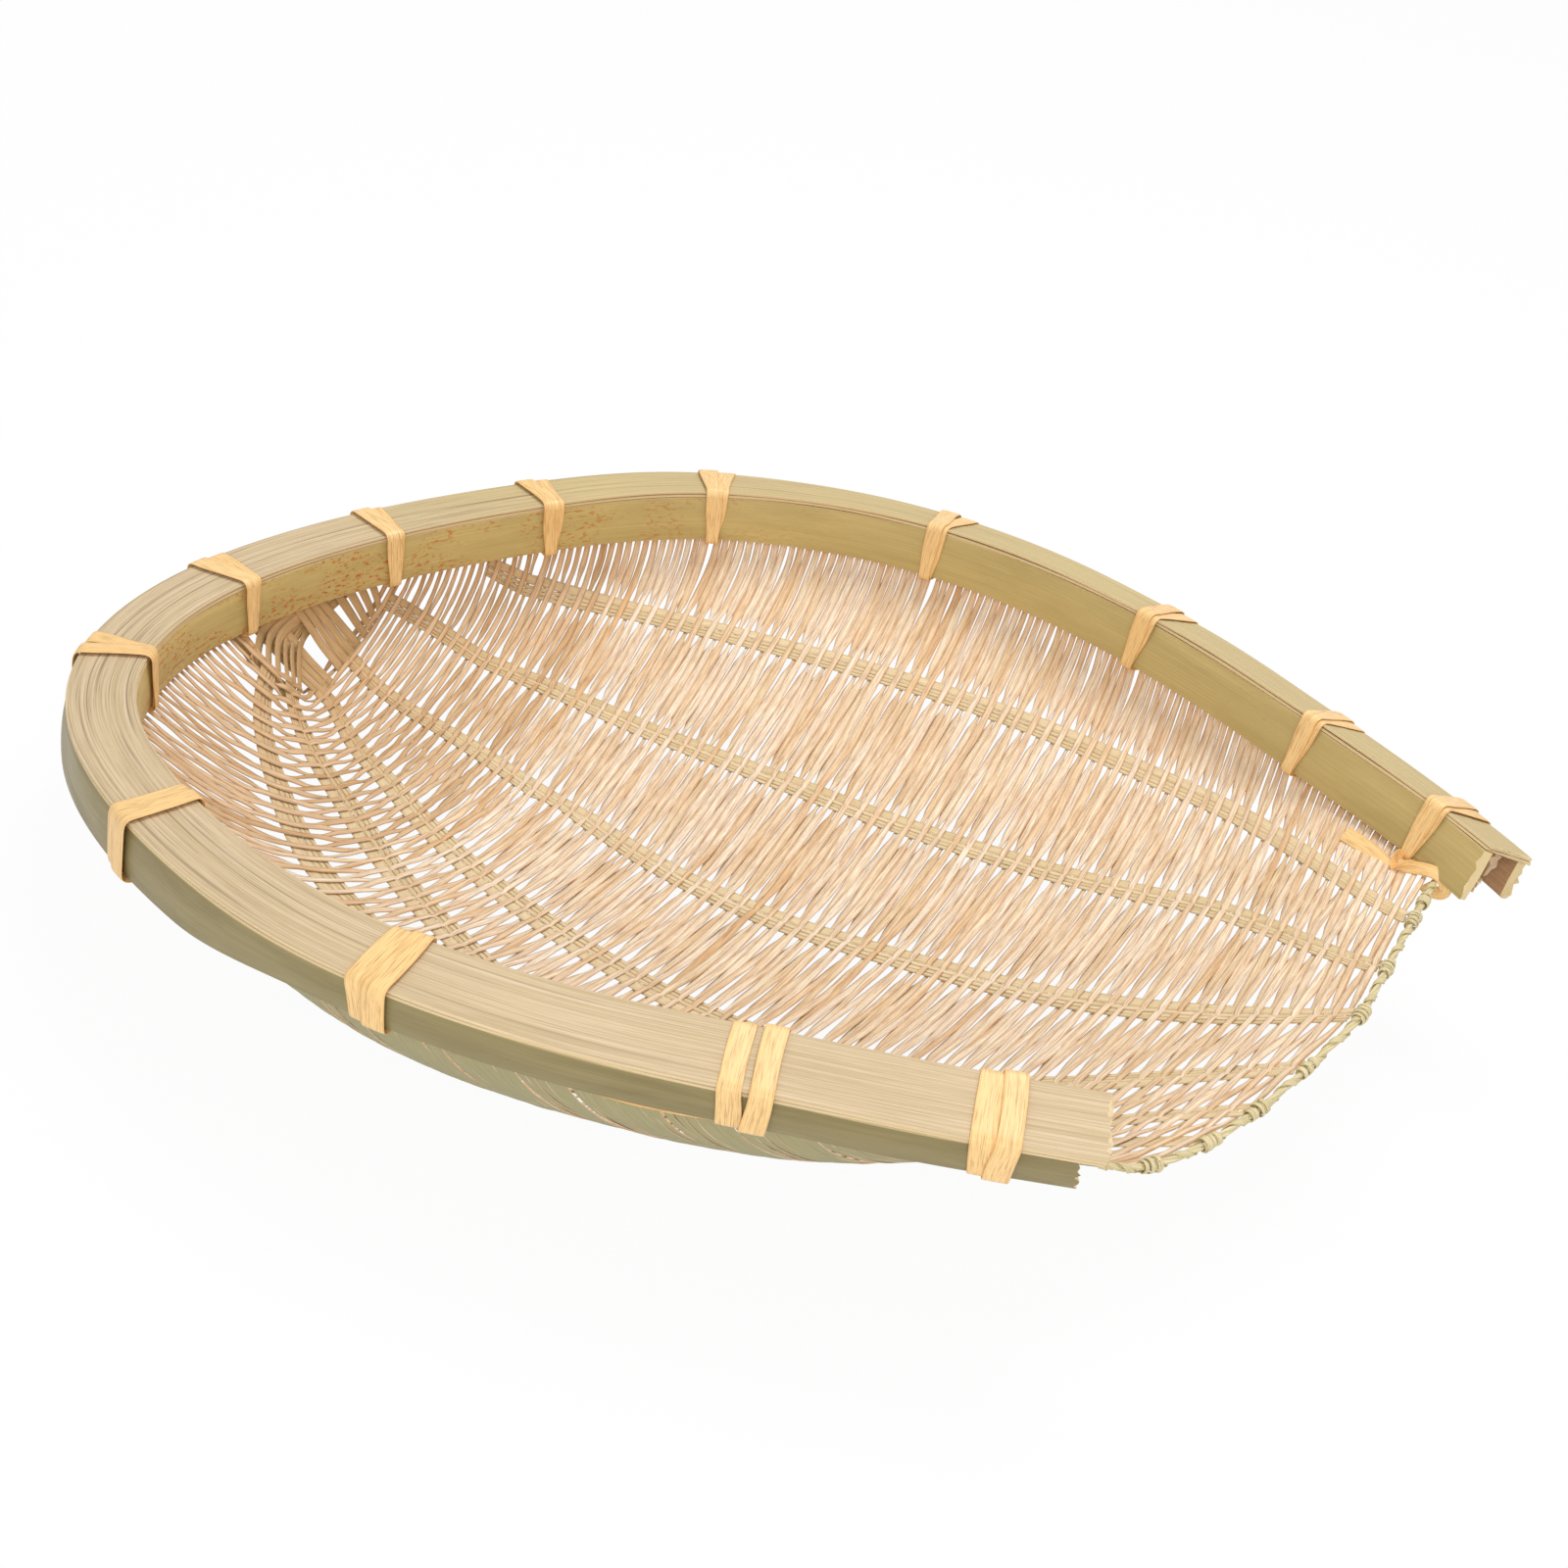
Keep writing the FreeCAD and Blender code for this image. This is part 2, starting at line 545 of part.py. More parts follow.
def rod_sleeve(side, t, length, thickness):
    """Short sleeve round the edge rod."""
    place, along, _, _ = mat_frame(ROD_AT, side, t)
    start = place - along * (length / 2)
    inner = EDGE_ROD_RADIUS + SEAT
    outside = Part.makeCylinder(inner + thickness, length, start, along)
    return outside.cut(Part.makeCylinder(inner, length, start, along))


def mouth_edge_turns():
    """The end of every rib wound round the edge rod."""
    places = EDGE_RIB_TURNS + [(rib_side(rib), rib_track(rib, ROD_AT)) for rib in RIBS]
    return [rod_sleeve(side, t, TURN_LENGTH, TURN_THICKNESS) for side, t in places]


# ---- lashings -----------------------------------------------------------------------------
def band_face(slack):
    """Section of a band pulled round the rim, in the rim's own u and v."""
    outline = [
        Vector(-HOOP_BELLY, 0, 0),
        Vector(RIM_WIDTH + HOOP_BELLY, 0, 0),
        Vector(RIM_WIDTH + HOOP_BELLY, OUTER_HOOP_DEPTH, 0),
        Vector(HOOP_THICKNESS, INNER_HOOP_DEPTH, 0),
        Vector(-HOOP_BELLY, INNER_HOOP_DEPTH, 0),
    ]
    wire = Part.makePolygon(outline + outline[:1])
    inner = wire.makeOffset2D(slack, 0)
    outer = wire.makeOffset2D(slack + BAND_THICKNESS, 0)
    return Part.Face(outer).cut(Part.Face(inner))


def band(s, spread, slack):
    """One closed band: it crosses the rim's top at s + spread and its foot at s."""
    flat = band_face(slack).extrude(Vector(0, 0, BAND_WIDTH))
    flat.translate(Vector(0, 0, -BAND_WIDTH / 2))
    top, _, across, _ = rim_frame(s + spread)
    lean = (rim_frame(s, 0, INNER_HOOP_DEPTH)[0] - top) / INNER_HOOP_DEPTH
    along = rim_frame(s + spread + 1)[0] - rim_frame(s + spread - 1)[0]
    along.normalize()
    return placed(flat, across, lean, along, top)


def placed(shape, x_axis, y_axis, z_axis, origin):
    """The shape set on the given axes, which may lean."""
    place = Matrix(
        x_axis.x, y_axis.x, z_axis.x, origin.x,
        x_axis.y, y_axis.y, z_axis.y, origin.y,
        x_axis.z, y_axis.z, z_axis.z, origin.z,
        0, 0, 0, 1)
    solid = shape.transformGeometry(place).Solids[0]
    if solid.Volume < 0:
        solid.reverse()
    return solid


def lashing(s, spread):
    return [band(s, spread, BAND_SEAT), band(s, -spread, BAND_SEAT + BAND_THICKNESS + SEAT)]


def lashing_runs():
    """The strip between each lashing and the next, flat under the outer hoop."""
    foot = 1 - OUTER_HOOP_DEPTH / INNER_HOOP_DEPTH
    edge = RIM_WIDTH - RUN_INSET - RUN_WIDTH
    section = box_section(edge, RUN_WIDTH, OUTER_HOOP_DEPTH + SEAT, BAND_THICKNESS)
    runs = []
    for (low, low_spread), (high, high_spread) in zip(LASHINGS, LASHINGS[1:]):
        start = low + BAND_WIDTH / 2 + low_spread * foot + 2 * SEAT
        finish = high - BAND_WIDTH / 2 - high_spread * foot - 2 * SEAT
        runs.append(rim_bar(section, start, finish))
    return runs


def knot_seat():
    """The knot sits inside the last lashing, against its bands and the hoop's lower edge."""
    return -HOOP_BELLY - BAND_SEAT - 2 * (BAND_THICKNESS + SEAT) - SEAT - KNOT_SIZE


def knot():
    body = Part.makeBox(KNOT_SIZE, KNOT_SIZE * KNOT_FLATNESS, KNOT_SIZE)
    body = body.makeFillet(KNOT_SIZE * KNOT_ROUNDING, body.Edges)
    height = INNER_HOOP_DEPTH - KNOT_SIZE / 2
    point, along, across, down = rim_frame(LASHINGS[-1][0], knot_seat(), height)
    return placed(body, across, down, along, point - along * (KNOT_SIZE / 2))


def tail():
    """Loose end of the lashing strip, lying back along the rim from the knot."""
    finish = LASHINGS[-1][0] - KNOT_SIZE / 2 - SEAT
    section = box_section(knot_seat(), TAIL_WIDTH, INNER_HOOP_DEPTH, BAND_THICKNESS)
    return rim_bar(section, finish - TAIL_LENGTH, finish)


# ---- the whole basket ---------------------------------------------------------------------
def basket():
    """Every node's solids by name."""
    nodes = {
        "inner_hoop": [inner_hoop()],
        "outer_hoop": [outer_hoop()],
        "top_strip_upper": [top_strip(0)],
        "top_strip_lower": [top_strip(1)],
        "core_strip": [core_strip()],
        "edge_rib_right": edge_rib(-RIGHT_ARM_LENGTH, -WEFT_PLACES[-1][0]),
        "edge_rib_left": edge_rib(WEFT_PLACES[1][0], LEFT_ARM_LENGTH),
        "mouth_edge_rod": [edge_rod()],
        "mouth_edge_turns": mouth_edge_turns(),
        "lashing_runs": lashing_runs(),
        "lashing_knot": [knot()],
        "lashing_tail": [tail()],
        "lashing_end_loop": [rod_sleeve(1, LOOP_PLACE, LOOP_WIDTH, BAND_THICKNESS)],
    }
    for number, (s, spread) in enumerate(LASHINGS, 1):
        nodes["lashing_%02d" % number] = lashing(s, spread)
    for number, name in RIBS.items():
        nodes[name] = rib(number)
    for first in range(0, WEFT_COUNT, WEFTS_PER_NODE):
        last = min(first + WEFTS_PER_NODE, WEFT_COUNT)
        name = "wefts_%02d" % (first // WEFTS_PER_NODE + 1)
        nodes[name] = [weft_solid(k) for k in range(first, last)]
    return nodes


def save(nodes):
    """Move the basket so that its box stands centred on the origin, and write every node."""
    box = FreeCAD.BoundBox()
    for solids in nodes.values():
        for solid in solids:
            box.add(solid.optimalBoundingBox(False))
    shift = Vector(-box.Center.x, -box.Center.y, -box.ZMin)
    os.makedirs("parts", exist_ok=True)
    for name, solids in nodes.items():
        for solid in solids:
            solid.translate(shift)
        shape = solids[0] if len(solids) == 1 else Part.Compound(solids)
        shape.exportStep("parts/" + name + ".step")
    print("nodes", len(nodes), "solids", sum(len(solids) for solids in nodes.values()))
    print("size", box.XLength, box.YLength, box.ZLength, "shift", shift)


save(basket())
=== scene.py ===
import functools
import math

import bpy
import numpy as np
from mathutils import Matrix, Vector

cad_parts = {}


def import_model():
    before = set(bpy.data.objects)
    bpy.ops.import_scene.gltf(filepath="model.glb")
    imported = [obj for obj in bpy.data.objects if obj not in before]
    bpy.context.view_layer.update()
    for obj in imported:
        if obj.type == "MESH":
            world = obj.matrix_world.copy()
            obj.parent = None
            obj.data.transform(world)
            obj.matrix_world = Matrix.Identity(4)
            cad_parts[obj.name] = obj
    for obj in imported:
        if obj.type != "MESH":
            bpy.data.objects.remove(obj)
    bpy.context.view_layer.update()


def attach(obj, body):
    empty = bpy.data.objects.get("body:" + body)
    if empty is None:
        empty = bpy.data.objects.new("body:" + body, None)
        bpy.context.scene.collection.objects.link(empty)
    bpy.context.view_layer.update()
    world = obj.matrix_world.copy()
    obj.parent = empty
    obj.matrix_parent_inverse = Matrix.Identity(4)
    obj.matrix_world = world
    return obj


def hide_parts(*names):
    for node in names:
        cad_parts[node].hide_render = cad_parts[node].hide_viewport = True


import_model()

# Winnowing basket of split bamboo. Lengths below are in millimetres in the frame in which the
# rim was measured; SHIFT moves them into the CAD frame, and MM turns them into metres.
MM = 0.001
SHIFT = np.array([9.4128, -1.9205, -0.0656])

# ---- the basket's measures ----
# The rim: its inner top edge seen from above, from the near arm's end round the back to the far
# arm's end. That edge's height is top + climb * x - crown * x * x, and the rim's top face falls
# outwards by the bank, in degrees at x = 0 and per millimetre of x.
RIM_OUTLINE = [
    (199, -116), (142, -144), (96, -163), (49, -180), (-1, -191), (-53, -192),
    (-102, -181), (-156, -158), (-206, -118), (-233, -61), (-234, -3), (-217, 57),
    (-190, 110), (-155, 156), (-105, 185), (-54, 196), (-1, 194), (49, 183),
    (98, 166), (143, 146), (203, 119), (235, 101),
]
RIM_TOP_HEIGHT = 85.1
RIM_CLIMB = 0.060
RIM_CROWN = 0.000169
BANK_MIDDLE = 11.4
BANK_CLIMB = 0.045
RIM_WIDTH = 24.4
INNER_DEPTH = 22.7
OUTER_DEPTH = 17.5
HOOP_THICKNESS = 4.4
HOOP_BELLY = 0.7
TOP_STRIP = 1.25
SEAT = 0.15
RIGHT_ARM = 549.0
LEFT_ARM = 592.0
HOOPS_TOP = 2 * (TOP_STRIP + SEAT)

# The outer hoop's foot spreads and hangs lower where the rim turns, at the back right.
FLARE_OUT = 2.6
FLARE_DOWN = 4.5
FLARE_GROWS = (-310, 60)
FLARE_FADES = (-120, 50)

# Pairs that say where something sets in are its start and the run in which it grows to its full.
# The mat: each half of a weft is a curve through rim, wall, floor and middle. The shape values
# are given at SHAPE_WEFTS, for the left half (1) and the right half (-1) where they differ.
WEFT_COUNT = 140
WEFT_PITCH = 3.2
WEFTS_PER_NODE = 10
APEX_X = -226.0
FLOOR_HEIGHT = 6.5
MOUTH_X = 229.0
MOUTH_HEIGHT = 71.9
CLIMB_POWER = 2.1
SHAPE_WEFTS = (0, 20, 45, 95, 140)
WALL_DROP = {1: (0.68, 1.19, 0.67, 0.66, 1.02), -1: (0.58, 1.30, 1.40, 0.47, 1.39)}
WALL_INSET = {1: (-0.30, -0.18, 0.13, 0.03, -0.10), -1: (1.22, 1.60, 0.42, -0.16, -0.35)}
FLOOR_REACH = {1: (0.15, 0.15, 0.17, 0.32, 0.64), -1: (0.18, 0.79, 0.81, 0.82, 0.59)}
FLOOR_TILT = (0.13, -0.09, 0.02, 0.18, 0.35)
FLOOR_SKEW = (-0.02, -0.28, -0.17, 0.06, 0.12)
WEFT_PLACES = {1: (49.5, 574.0), -1: (24.5, 540.0)}
TUCK = 11.0
WEFT_SEAT = 5.35
CORNER_SWING = np.array([1.5, -22.0, -30.0])
EDGE_STRAIGHTENING = {1: 1.0, -1: 0.3}
FLATTENING_START = 0.78
WEAVE_OFFSET = 0.8

# The ribs: each follows a track of t over the wefts, given at TRACK_WEFTS.
RIBS = {
    -3: "rib_right_outer", -2: "rib_right_middle", -1: "rib_right_inner",
    0: "rib_left_inner", 1: "rib_left_middle", 2: "rib_left_outer",
}
TRACK_WEFTS = (0, 8, 20, 45, 95, 140)
RIB_TRACKS = {
    -3: (0.20, 0.29, 0.41, 0.59, 0.60, 0.54),
    -2: (0.40, 0.53, 0.64, 0.70, 0.69, 0.69),
    -1: (1.14, 0.86, 0.82, 0.82, 0.85, 0.84),
    0: (0.55, 0.72, 0.83, 1.00, 1.00, 1.00),
    1: (0.17, 0.32, 0.48, 0.64, 0.67, 0.69),
    2: (-0.30, -0.06, 0.16, 0.34, 0.33, 0.35),
}
RIB_STARTS = {1: 1, 2: 13}
RIB_START = 0.4
RIB_WIDTH = 11.0
ROD_AT = 140.5

# The lashings: arc length along the rim, and how far each of the two bands spreads at the top.
# Each pushes the wefts' ends HALF_HOLE to either side, and less and less up to SQUEEZE_REACH.
LASHINGS = [
    (-517, 3.5), (-444, 4.8), (-331, 3.4), (-215, 3.0), (-99, 4.7), (-24, 3.8), (49, 2.4),
    (123, 3.2), (197, 3.5), (297, 4.0), (406, 4.0), (499, 3.6), (564, 3.5),
]
BAND_WIDTH = 7.6
HALF_HOLE = 1.2
SQUEEZE_REACH = 12.0

# Points that lines are worked out with, and small steps along them.
PATH_POINTS = 3000
HALF_WEFT_POINTS = 110
SMALL_T = 0.004
TRACK_T = 0.01


# ---- curves ----
norm = np.linalg.norm


def smooth(share):
    share = np.clip(share, 0.0, 1.0)
    return share * share * (3 - 2 * share)


def rise(x, start, run):
    """0 up to start, 1 from start + run on, and smooth between."""
    return smooth((x - start) / run)


def unit(v):
    return v / np.maximum(norm(v, axis=-1, keepdims=True), 1e-9)


def spline_through(points, count):
    """A smooth line of count points through the given ones."""
    points = np.array(points, float)
    knots = arc_lengths(points)
    n = len(points)
    spans = np.diff(knots)
    system = np.eye(n)
    right = np.zeros((n, points.shape[1]))
    for i in range(1, n - 1):
        system[i, i - 1:i + 2] = spans[i - 1], 2 * (spans[i - 1] + spans[i]), spans[i]
        rise = (points[i + 1] - points[i]) / spans[i] - (points[i] - points[i - 1]) / spans[i - 1]
        right[i] = 6 * rise
    system[0, :3] = spans[1], -spans[0] - spans[1], spans[0]
    system[-1, -3:] = spans[-1], -spans[-2] - spans[-1], spans[-2]
    bend = np.linalg.solve(system, right)
    at = np.linspace(0, knots[-1], count)
    i = np.clip(np.searchsorted(knots, at, side="right") - 1, 0, n - 2)
    h = spans[i][:, None]
    a = (knots[i + 1] - at)[:, None] / h
    b = 1 - a
    curve = (a ** 3 - a) * bend[i] + (b ** 3 - b) * bend[i + 1]
    return a * points[i] + b * points[i + 1] + curve * h * h / 6


def arc_lengths(points):
    steps = norm(np.diff(points, axis=0), axis=1)
    return np.concatenate([[0], np.cumsum(steps)])


def resampled(at, *columns):
    """Values of the columns at new arc lengths; the first column is the arc length itself."""
    lengths = columns[0]
    return [np.stack([np.interp(at, lengths, values) for values in c.T], 1) for c in columns[1:]]


def rim_path():
    places = spline_through(RIM_OUTLINE, PATH_POINTS)
    lengths = arc_lengths(places)
    crossing = np.where((places[:-1, 1] < 0) & (places[1:, 1] >= 0))[0][0] + 1
    return lengths - lengths[crossing], places, unit(np.gradient(places, axis=0))


PATH_S, PATH_XY, PATH_ALONG = rim_path()


def rim_axes(s):
    """Inner top edge of the rim at arc length s, and the directions along, across and down."""
    s = np.asarray(s, float)
    extra = s - np.clip(s, PATH_S[0], PATH_S[-1])
    x, y = (np.interp(s, PATH_S, PATH_XY[:, j]) for j in (0, 1))
    ax, ay = (np.interp(s, PATH_S, PATH_ALONG[:, j]) for j in (0, 1))
    size = np.hypot(ax, ay)
    ax, ay = ax / size, ay / size
    x, y = x + ax * extra, y + ay * extra
    bank = np.radians(BANK_MIDDLE + BANK_CLIMB * x)
    sine, cosine = np.sin(bank), np.cos(bank)
    zero = np.zeros_like(x)
    along = np.stack([ax, ay, zero], -1)
    across = np.stack([-ay * cosine, ax * cosine, -sine], -1)
    down = np.stack([ay * sine, -ax * sine, -cosine], -1)
    point = np.stack([x, y, RIM_TOP_HEIGHT + RIM_CLIMB * x - RIM_CROWN * x * x], -1)
    return point, along, across, down


def rim_point(s, u, v):
    """The rim's point at arc length s, u outwards from the inner top edge and v down from it."""
    point, _, across, down = rim_axes(s)
    return point + across * np.asarray(u)[..., None] + down * np.asarray(v)[..., None]


# ---- the mat's surface ----
def floor_height(x):
    """Height of the mat's centre line."""
    share = np.maximum(x, 0.0) / MOUTH_X
    return FLOOR_HEIGHT + (MOUTH_HEIGHT - FLOOR_HEIGHT) * share ** CLIMB_POWER


def even_place(k, side):
    """Where weft k would meet the rim if no lashing pushed it."""
    start, finish = WEFT_PLACES[side]
    return side * (start + (finish - start) * k / WEFT_COUNT)


def weft_end_place(k, side):
    """Where weft k meets the rim, after the nearest lashing has pushed it aside."""
    s = even_place(k, side)
    for centre, _ in LASHINGS:
        away = abs(s - centre)
        if away < SQUEEZE_REACH:
            shifted = HALF_HOLE + away * (SQUEEZE_REACH - HALF_HOLE) / SQUEEZE_REACH
            return centre + math.copysign(shifted, s - centre)
    return s


def along_mat(values, k, wefts=SHAPE_WEFTS):
    """Smooth curve over the wefts through the values at some of them."""
    last = len(wefts) - 1
    i = min(max(int(np.searchsorted(wefts, k, side="right")), 1), last)
    span = wefts[i] - wefts[i - 1]
    slopes = []
    for j in (i - 1, i):
        low, high = max(j - 1, 0), min(j + 1, last)
        slopes.append((values[high] - values[low]) / (wefts[high] - wefts[low]) * span)
    share = min(max((k - wefts[i - 1]) / span, 0.0), 1.0)
    ease = smooth(share)
    bend = slopes[0] * share * (1 - share) ** 2 - slopes[1] * share ** 2 * (1 - share)
    return values[i - 1] * (1 - ease) + values[i] * ease + bend


@functools.lru_cache(maxsize=None)
def weft_controls(k, side):
    """The four points that shape half of weft k, from the rim to the centre line."""
    even = rim_point(even_place(k, side), WEFT_SEAT, INNER_DEPTH)
    across = rim_axes(even_place(k, side))[2]
    rim = rim_point(weft_end_place(k, side), WEFT_SEAT, INNER_DEPTH)
    x = APEX_X + WEFT_PITCH * (k + 0.5)
    centre = np.array([x, 0, floor_height(x)])
    drop = max(even[2] - centre[2], 0.0)
    inward = unit(np.array([-across[0], -across[1], 0]))
    wall = even + np.array([0, 0, -along_mat(WALL_DROP[side], k) * drop])
    wall = wall + inward * (along_mat(WALL_INSET[side], k) * drop)
    floor_run = np.array([along_mat(FLOOR_SKEW, k), 1, along_mat(FLOOR_TILT, k)])
    reach = centre + floor_run * (along_mat(FLOOR_REACH[side], k) * even[1])
    straight_wall = even + (centre - even) / 3
    straight_reach = even + (centre - even) * 2 / 3
    flattening = smooth((k / WEFT_COUNT - FLATTENING_START) / (1 - FLATTENING_START))
    wall = straight_wall + (wall - straight_wall) * (1 - flattening)
    straightening = EDGE_STRAIGHTENING[side] * flattening
    reach = straight_reach + (reach - straight_reach) * (1 - straightening)
    if side < 0:
        wall = wall + CORNER_SWING * flattening
    return rim, wall, reach, centre


def cubic(controls, t):
    """The place at t on the curve of four points; t may be a column of values."""
    p0, p1, p2, p3 = controls
    r = 1 - t
    return p0 * (r * r * r) + p1 * (3 * r * r * t) + p2 * (3 * r * t * t) + p3 * (t * t * t)


def mat_point(k, side, t):
    """Point of the mat on weft k: t is 0 at the rim and 1 at the centre line, then crosses over."""
    if t > 1:
        side, t = -side, 2 - t
    return cubic(weft_controls(k, side), t)


def mat_frame(k, side, t):
    """Place on the mat, direction from right to left along the weft, onward, and normal."""
    if t > 1:
        side, t = -side, 2 - t
    behind = mat_point(k, side, max(t - SMALL_T, 0.0))
    along = unit((mat_point(k, side, t + SMALL_T) - behind) * -side)
    onward = mat_point(k + 0.5, side, t) - mat_point(k - 0.5, side, t)
    onward = unit(onward - along * np.dot(onward, along))
    return mat_point(k, side, t), along, onward, np.cross(onward, along)


def weft_line(k):
    """Weft k's middle line on the mat, from the right rim to the left."""
    t = np.linspace(0, 1, HALF_WEFT_POINTS)[:, None]
    return np.vstack([cubic(weft_controls(k, -1), t), cubic(weft_controls(k, 1), t[::-1])[1:]])


def rib_track(rib, k):
    return along_mat(RIB_TRACKS[rib], k, TRACK_WEFTS)


def rib_side(rib):
    return -1 if rib < 0 else 1


# A rib's width, as a share: gathered at the back, full from RIB_FULL_AT on, less at the mouth.
RIB_GATHERED = 0.72
RIB_FULL_AT = 30
RIB_MOUTH_LOSS = 0.25
RIB_MOUTH_FROM = 0.85


def rib_spread(k):
    grown = RIB_GATHERED + (1 - RIB_GATHERED) * smooth(k / RIB_FULL_AT)
    return grown - RIB_MOUTH_LOSS * smooth((k / WEFT_COUNT - RIB_MOUTH_FROM) / (1 - RIB_MOUTH_FROM))


# ---- chance, always the same ----
KEY_BITS = 0xFFFF
WAVES = 4
WAVE_LENGTHS = (0.55, 1.7)
ANY_PHASE = 6.28
TURN = 2 * math.pi


def chance(*key):
    """Random numbers for a strip's number and one kind of unevenness, the same in every run."""
    return np.random.default_rng([int(v) & KEY_BITS for v in key])


def wander(rng, x, length, size):
    """A smooth random line along x: waves about as long as length, about size high."""
    total = np.zeros_like(np.asarray(x, float))
    for _ in range(WAVES):
        wave = TURN / (length * rng.uniform(*WAVE_LENGTHS))
        total = total + np.sin(x * wave + rng.uniform(0, ANY_PHASE))
    return total * (size / 2)


# ---- meshes ----
# Numbers of the strips, which set their tints; the wefts are numbered from 0.
INNER_HOOP_NUMBER = 3
OUTER_HOOP_NUMBER = 5
TOP_NUMBERS = (7, 9)
CORE_NUMBER = 11
EDGE_RIB_NUMBERS = (21, 31)
STRAND_NUMBER = 300
COIL_NUMBER = 310
TURN_NUMBER = 330
BAND_NUMBER = 400
RUN_NUMBER = 450
KNOT_NUMBER = 470
TAIL_NUMBER = 480
LOOP_NUMBER = 490
GUSSET_NUMBER = 900


def placed(name, data):
    """A new object in the scene."""
    made = bpy.data.objects.new(name, data)
    bpy.context.scene.collection.objects.link(made)
    return made


class Piece:
    """Gathers strips and bars into one mesh. Each point's grain is how far along and across its
    strip it lies and which strip it is. Its cut is above 0 on cut edges and below 0 on a strip's
    underside or a hoop's back."""

    def __init__(self):
        self.points = []
        self.grain = []
        self.cut = []
        self.faces = []
        self.count = 0

    def bar(self, rings, grain, cut, caps=True):
        """rings: stations x section points x 3; grain and cut go with them."""
        stations, around = rings.shape[:2]
        ids = self.count + np.arange(stations * around).reshape(stations, around)
        self.points.append(rings.reshape(-1, 3))
        self.grain.append(grain.reshape(-1, 3))
        self.cut.append(cut.reshape(-1))
        self.count += stations * around
        following = np.roll(ids, -1, axis=1)
        quads = np.stack([ids[:-1], following[:-1], following[1:], ids[1:]], -1)
        self.faces.append(quads.reshape(-1, 4))
        if caps:
            for row, turn in ((0, -1), (-1, 1)):
                self.cap(rings[row], grain[row], turn)

    def cap(self, ring, grain, turn):
        """Close an end with a fan round its middle; its points are its own, for a sharp edge."""
        around = len(ring)
        base = self.count
        self.points.append(np.vstack([ring, ring.mean(0)[None]]))
        self.grain.append(np.vstack([grain, grain.mean(0)[None]]))
        self.cut.append(np.ones(around + 1))
        self.count += around + 1
        ids = base + np.arange(around)
        middle = np.full(around, base + around)
        fan = np.stack([ids, np.roll(ids, -1), middle], -1)[:, ::turn]
        self.faces.append(np.concatenate([fan, fan[:, -1:]], 1))

    def make(self, name, material, sharp=40):
        """Turn what was gathered into an object that stands for the node of the same name."""
        points = (np.vstack(self.points) + SHIFT) * MM
        faces = np.vstack(self.faces)
        polygons = [tuple(f[:3]) if f[3] == f[2] else tuple(f) for f in faces.tolist()]
        mesh = bpy.data.meshes.new(name)
        mesh.from_pydata(points.tolist(), [], polygons)
        grain = mesh.attributes.new("grain", "FLOAT_VECTOR", "POINT")
        grain.data.foreach_set("vector", np.vstack(self.grain).astype(np.float32).ravel())
        cut = mesh.attributes.new("cut", "FLOAT", "POINT")
        cut.data.foreach_set("value", np.concatenate(self.cut).astype(np.float32))
        mesh.shade_smooth()
        mesh.set_sharp_from_angle(angle=math.radians(sharp))
        mesh.validate()
        mesh.materials.append(material)
        piece = placed(name, mesh)
        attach(piece, "root")
        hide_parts(name)


# The section of a split strip, as shares of half its width and half its thickness, and the parts
# of it that count as cut edge and as underside.
FLAT = np.array([
    (-1, -0.1), (-0.93, 0.62), (-0.5, 1), (0.5, 1), (0.93, 0.62), (1, -0.1),
    (0.9, -0.8), (0.4, -1), (-0.4, -1), (-0.9, -0.8),
])
EDGE_FROM = 0.92
EDGE_CUT = 0.8
UNDER_FROM = -0.5


def add_strip(piece, centre, side, normal, width, thickness, seed, profile=FLAT):
    """A flat strip along centre; side and normal are its directions, width and thickness its size."""
    n = len(centre)
    a = profile[None, :, 0] * np.broadcast_to(width, n)[:, None] / 2
    b = profile[None, :, 1] * np.broadcast_to(thickness, n)[:, None] / 2
    rings = centre[:, None] + side[:, None] * a[..., None] + normal[:, None] * b[..., None]
    arcs = np.broadcast_to(arc_lengths(centre)[:, None], a.shape)
    grain = np.stack([arcs, a + b, np.full(a.shape, float(seed))], -1)
    cut = (np.abs(profile[:, 0]) > EDGE_FROM) * EDGE_CUT - (profile[:, 1] < UNDER_FROM) * 1.0
    piece.bar(rings, grain, np.broadcast_to(cut[None], a.shape))


def frames_along(points, hint):
    """Side and normal directions along a line, the normal as near to hint as the line allows."""
    along = unit(np.gradient(points, axis=0))
    hint = np.broadcast_to(hint, points.shape)
    normal = unit(hint - along * np.sum(hint * along, -1, keepdims=True))
    return np.cross(normal, along), normal


# ---- materials ----
# A noise's scale is per millimetre along a strip, per millimetre across it, and per strip.
# A ramp's stops are a place and a colour or a grey.
GAMMA = 2.2
WHITE = (1.0, 1.0, 1.0, 1.0)


def linear(colour):
    """A colour as it looks, 0 to 255, as light."""
    return tuple((c / 255) ** GAMMA for c in colour) + (1.0,)


class Nodes:
    """Short names for making shader nodes and joining them."""

    def __init__(self, owner):
        owner.use_nodes = True
        self.tree = owner.node_tree

    def add(self, kind, **inputs):
        node = self.tree.nodes.new("ShaderNode" + kind)
        for key, value in inputs.items():
            key = int(key[1:]) if key[0] == "_" else key.replace("_", " ")
            self.join(value, node.inputs[key])
        return node

    def join(self, value, socket):
        if isinstance(value, bpy.types.NodeSocket):
            self.tree.links.new(value, socket)
        else:
            socket.default_value = value

    def maths(self, operation, first, second):
        node = self.add("Math", _0=first, _1=second)
        node.operation = operation
        return node.outputs[0]

    def times(self, first, second):
        return self.maths("MULTIPLY", first, second)

    def plus(self, first, second):
        return self.maths("ADD", first, second)


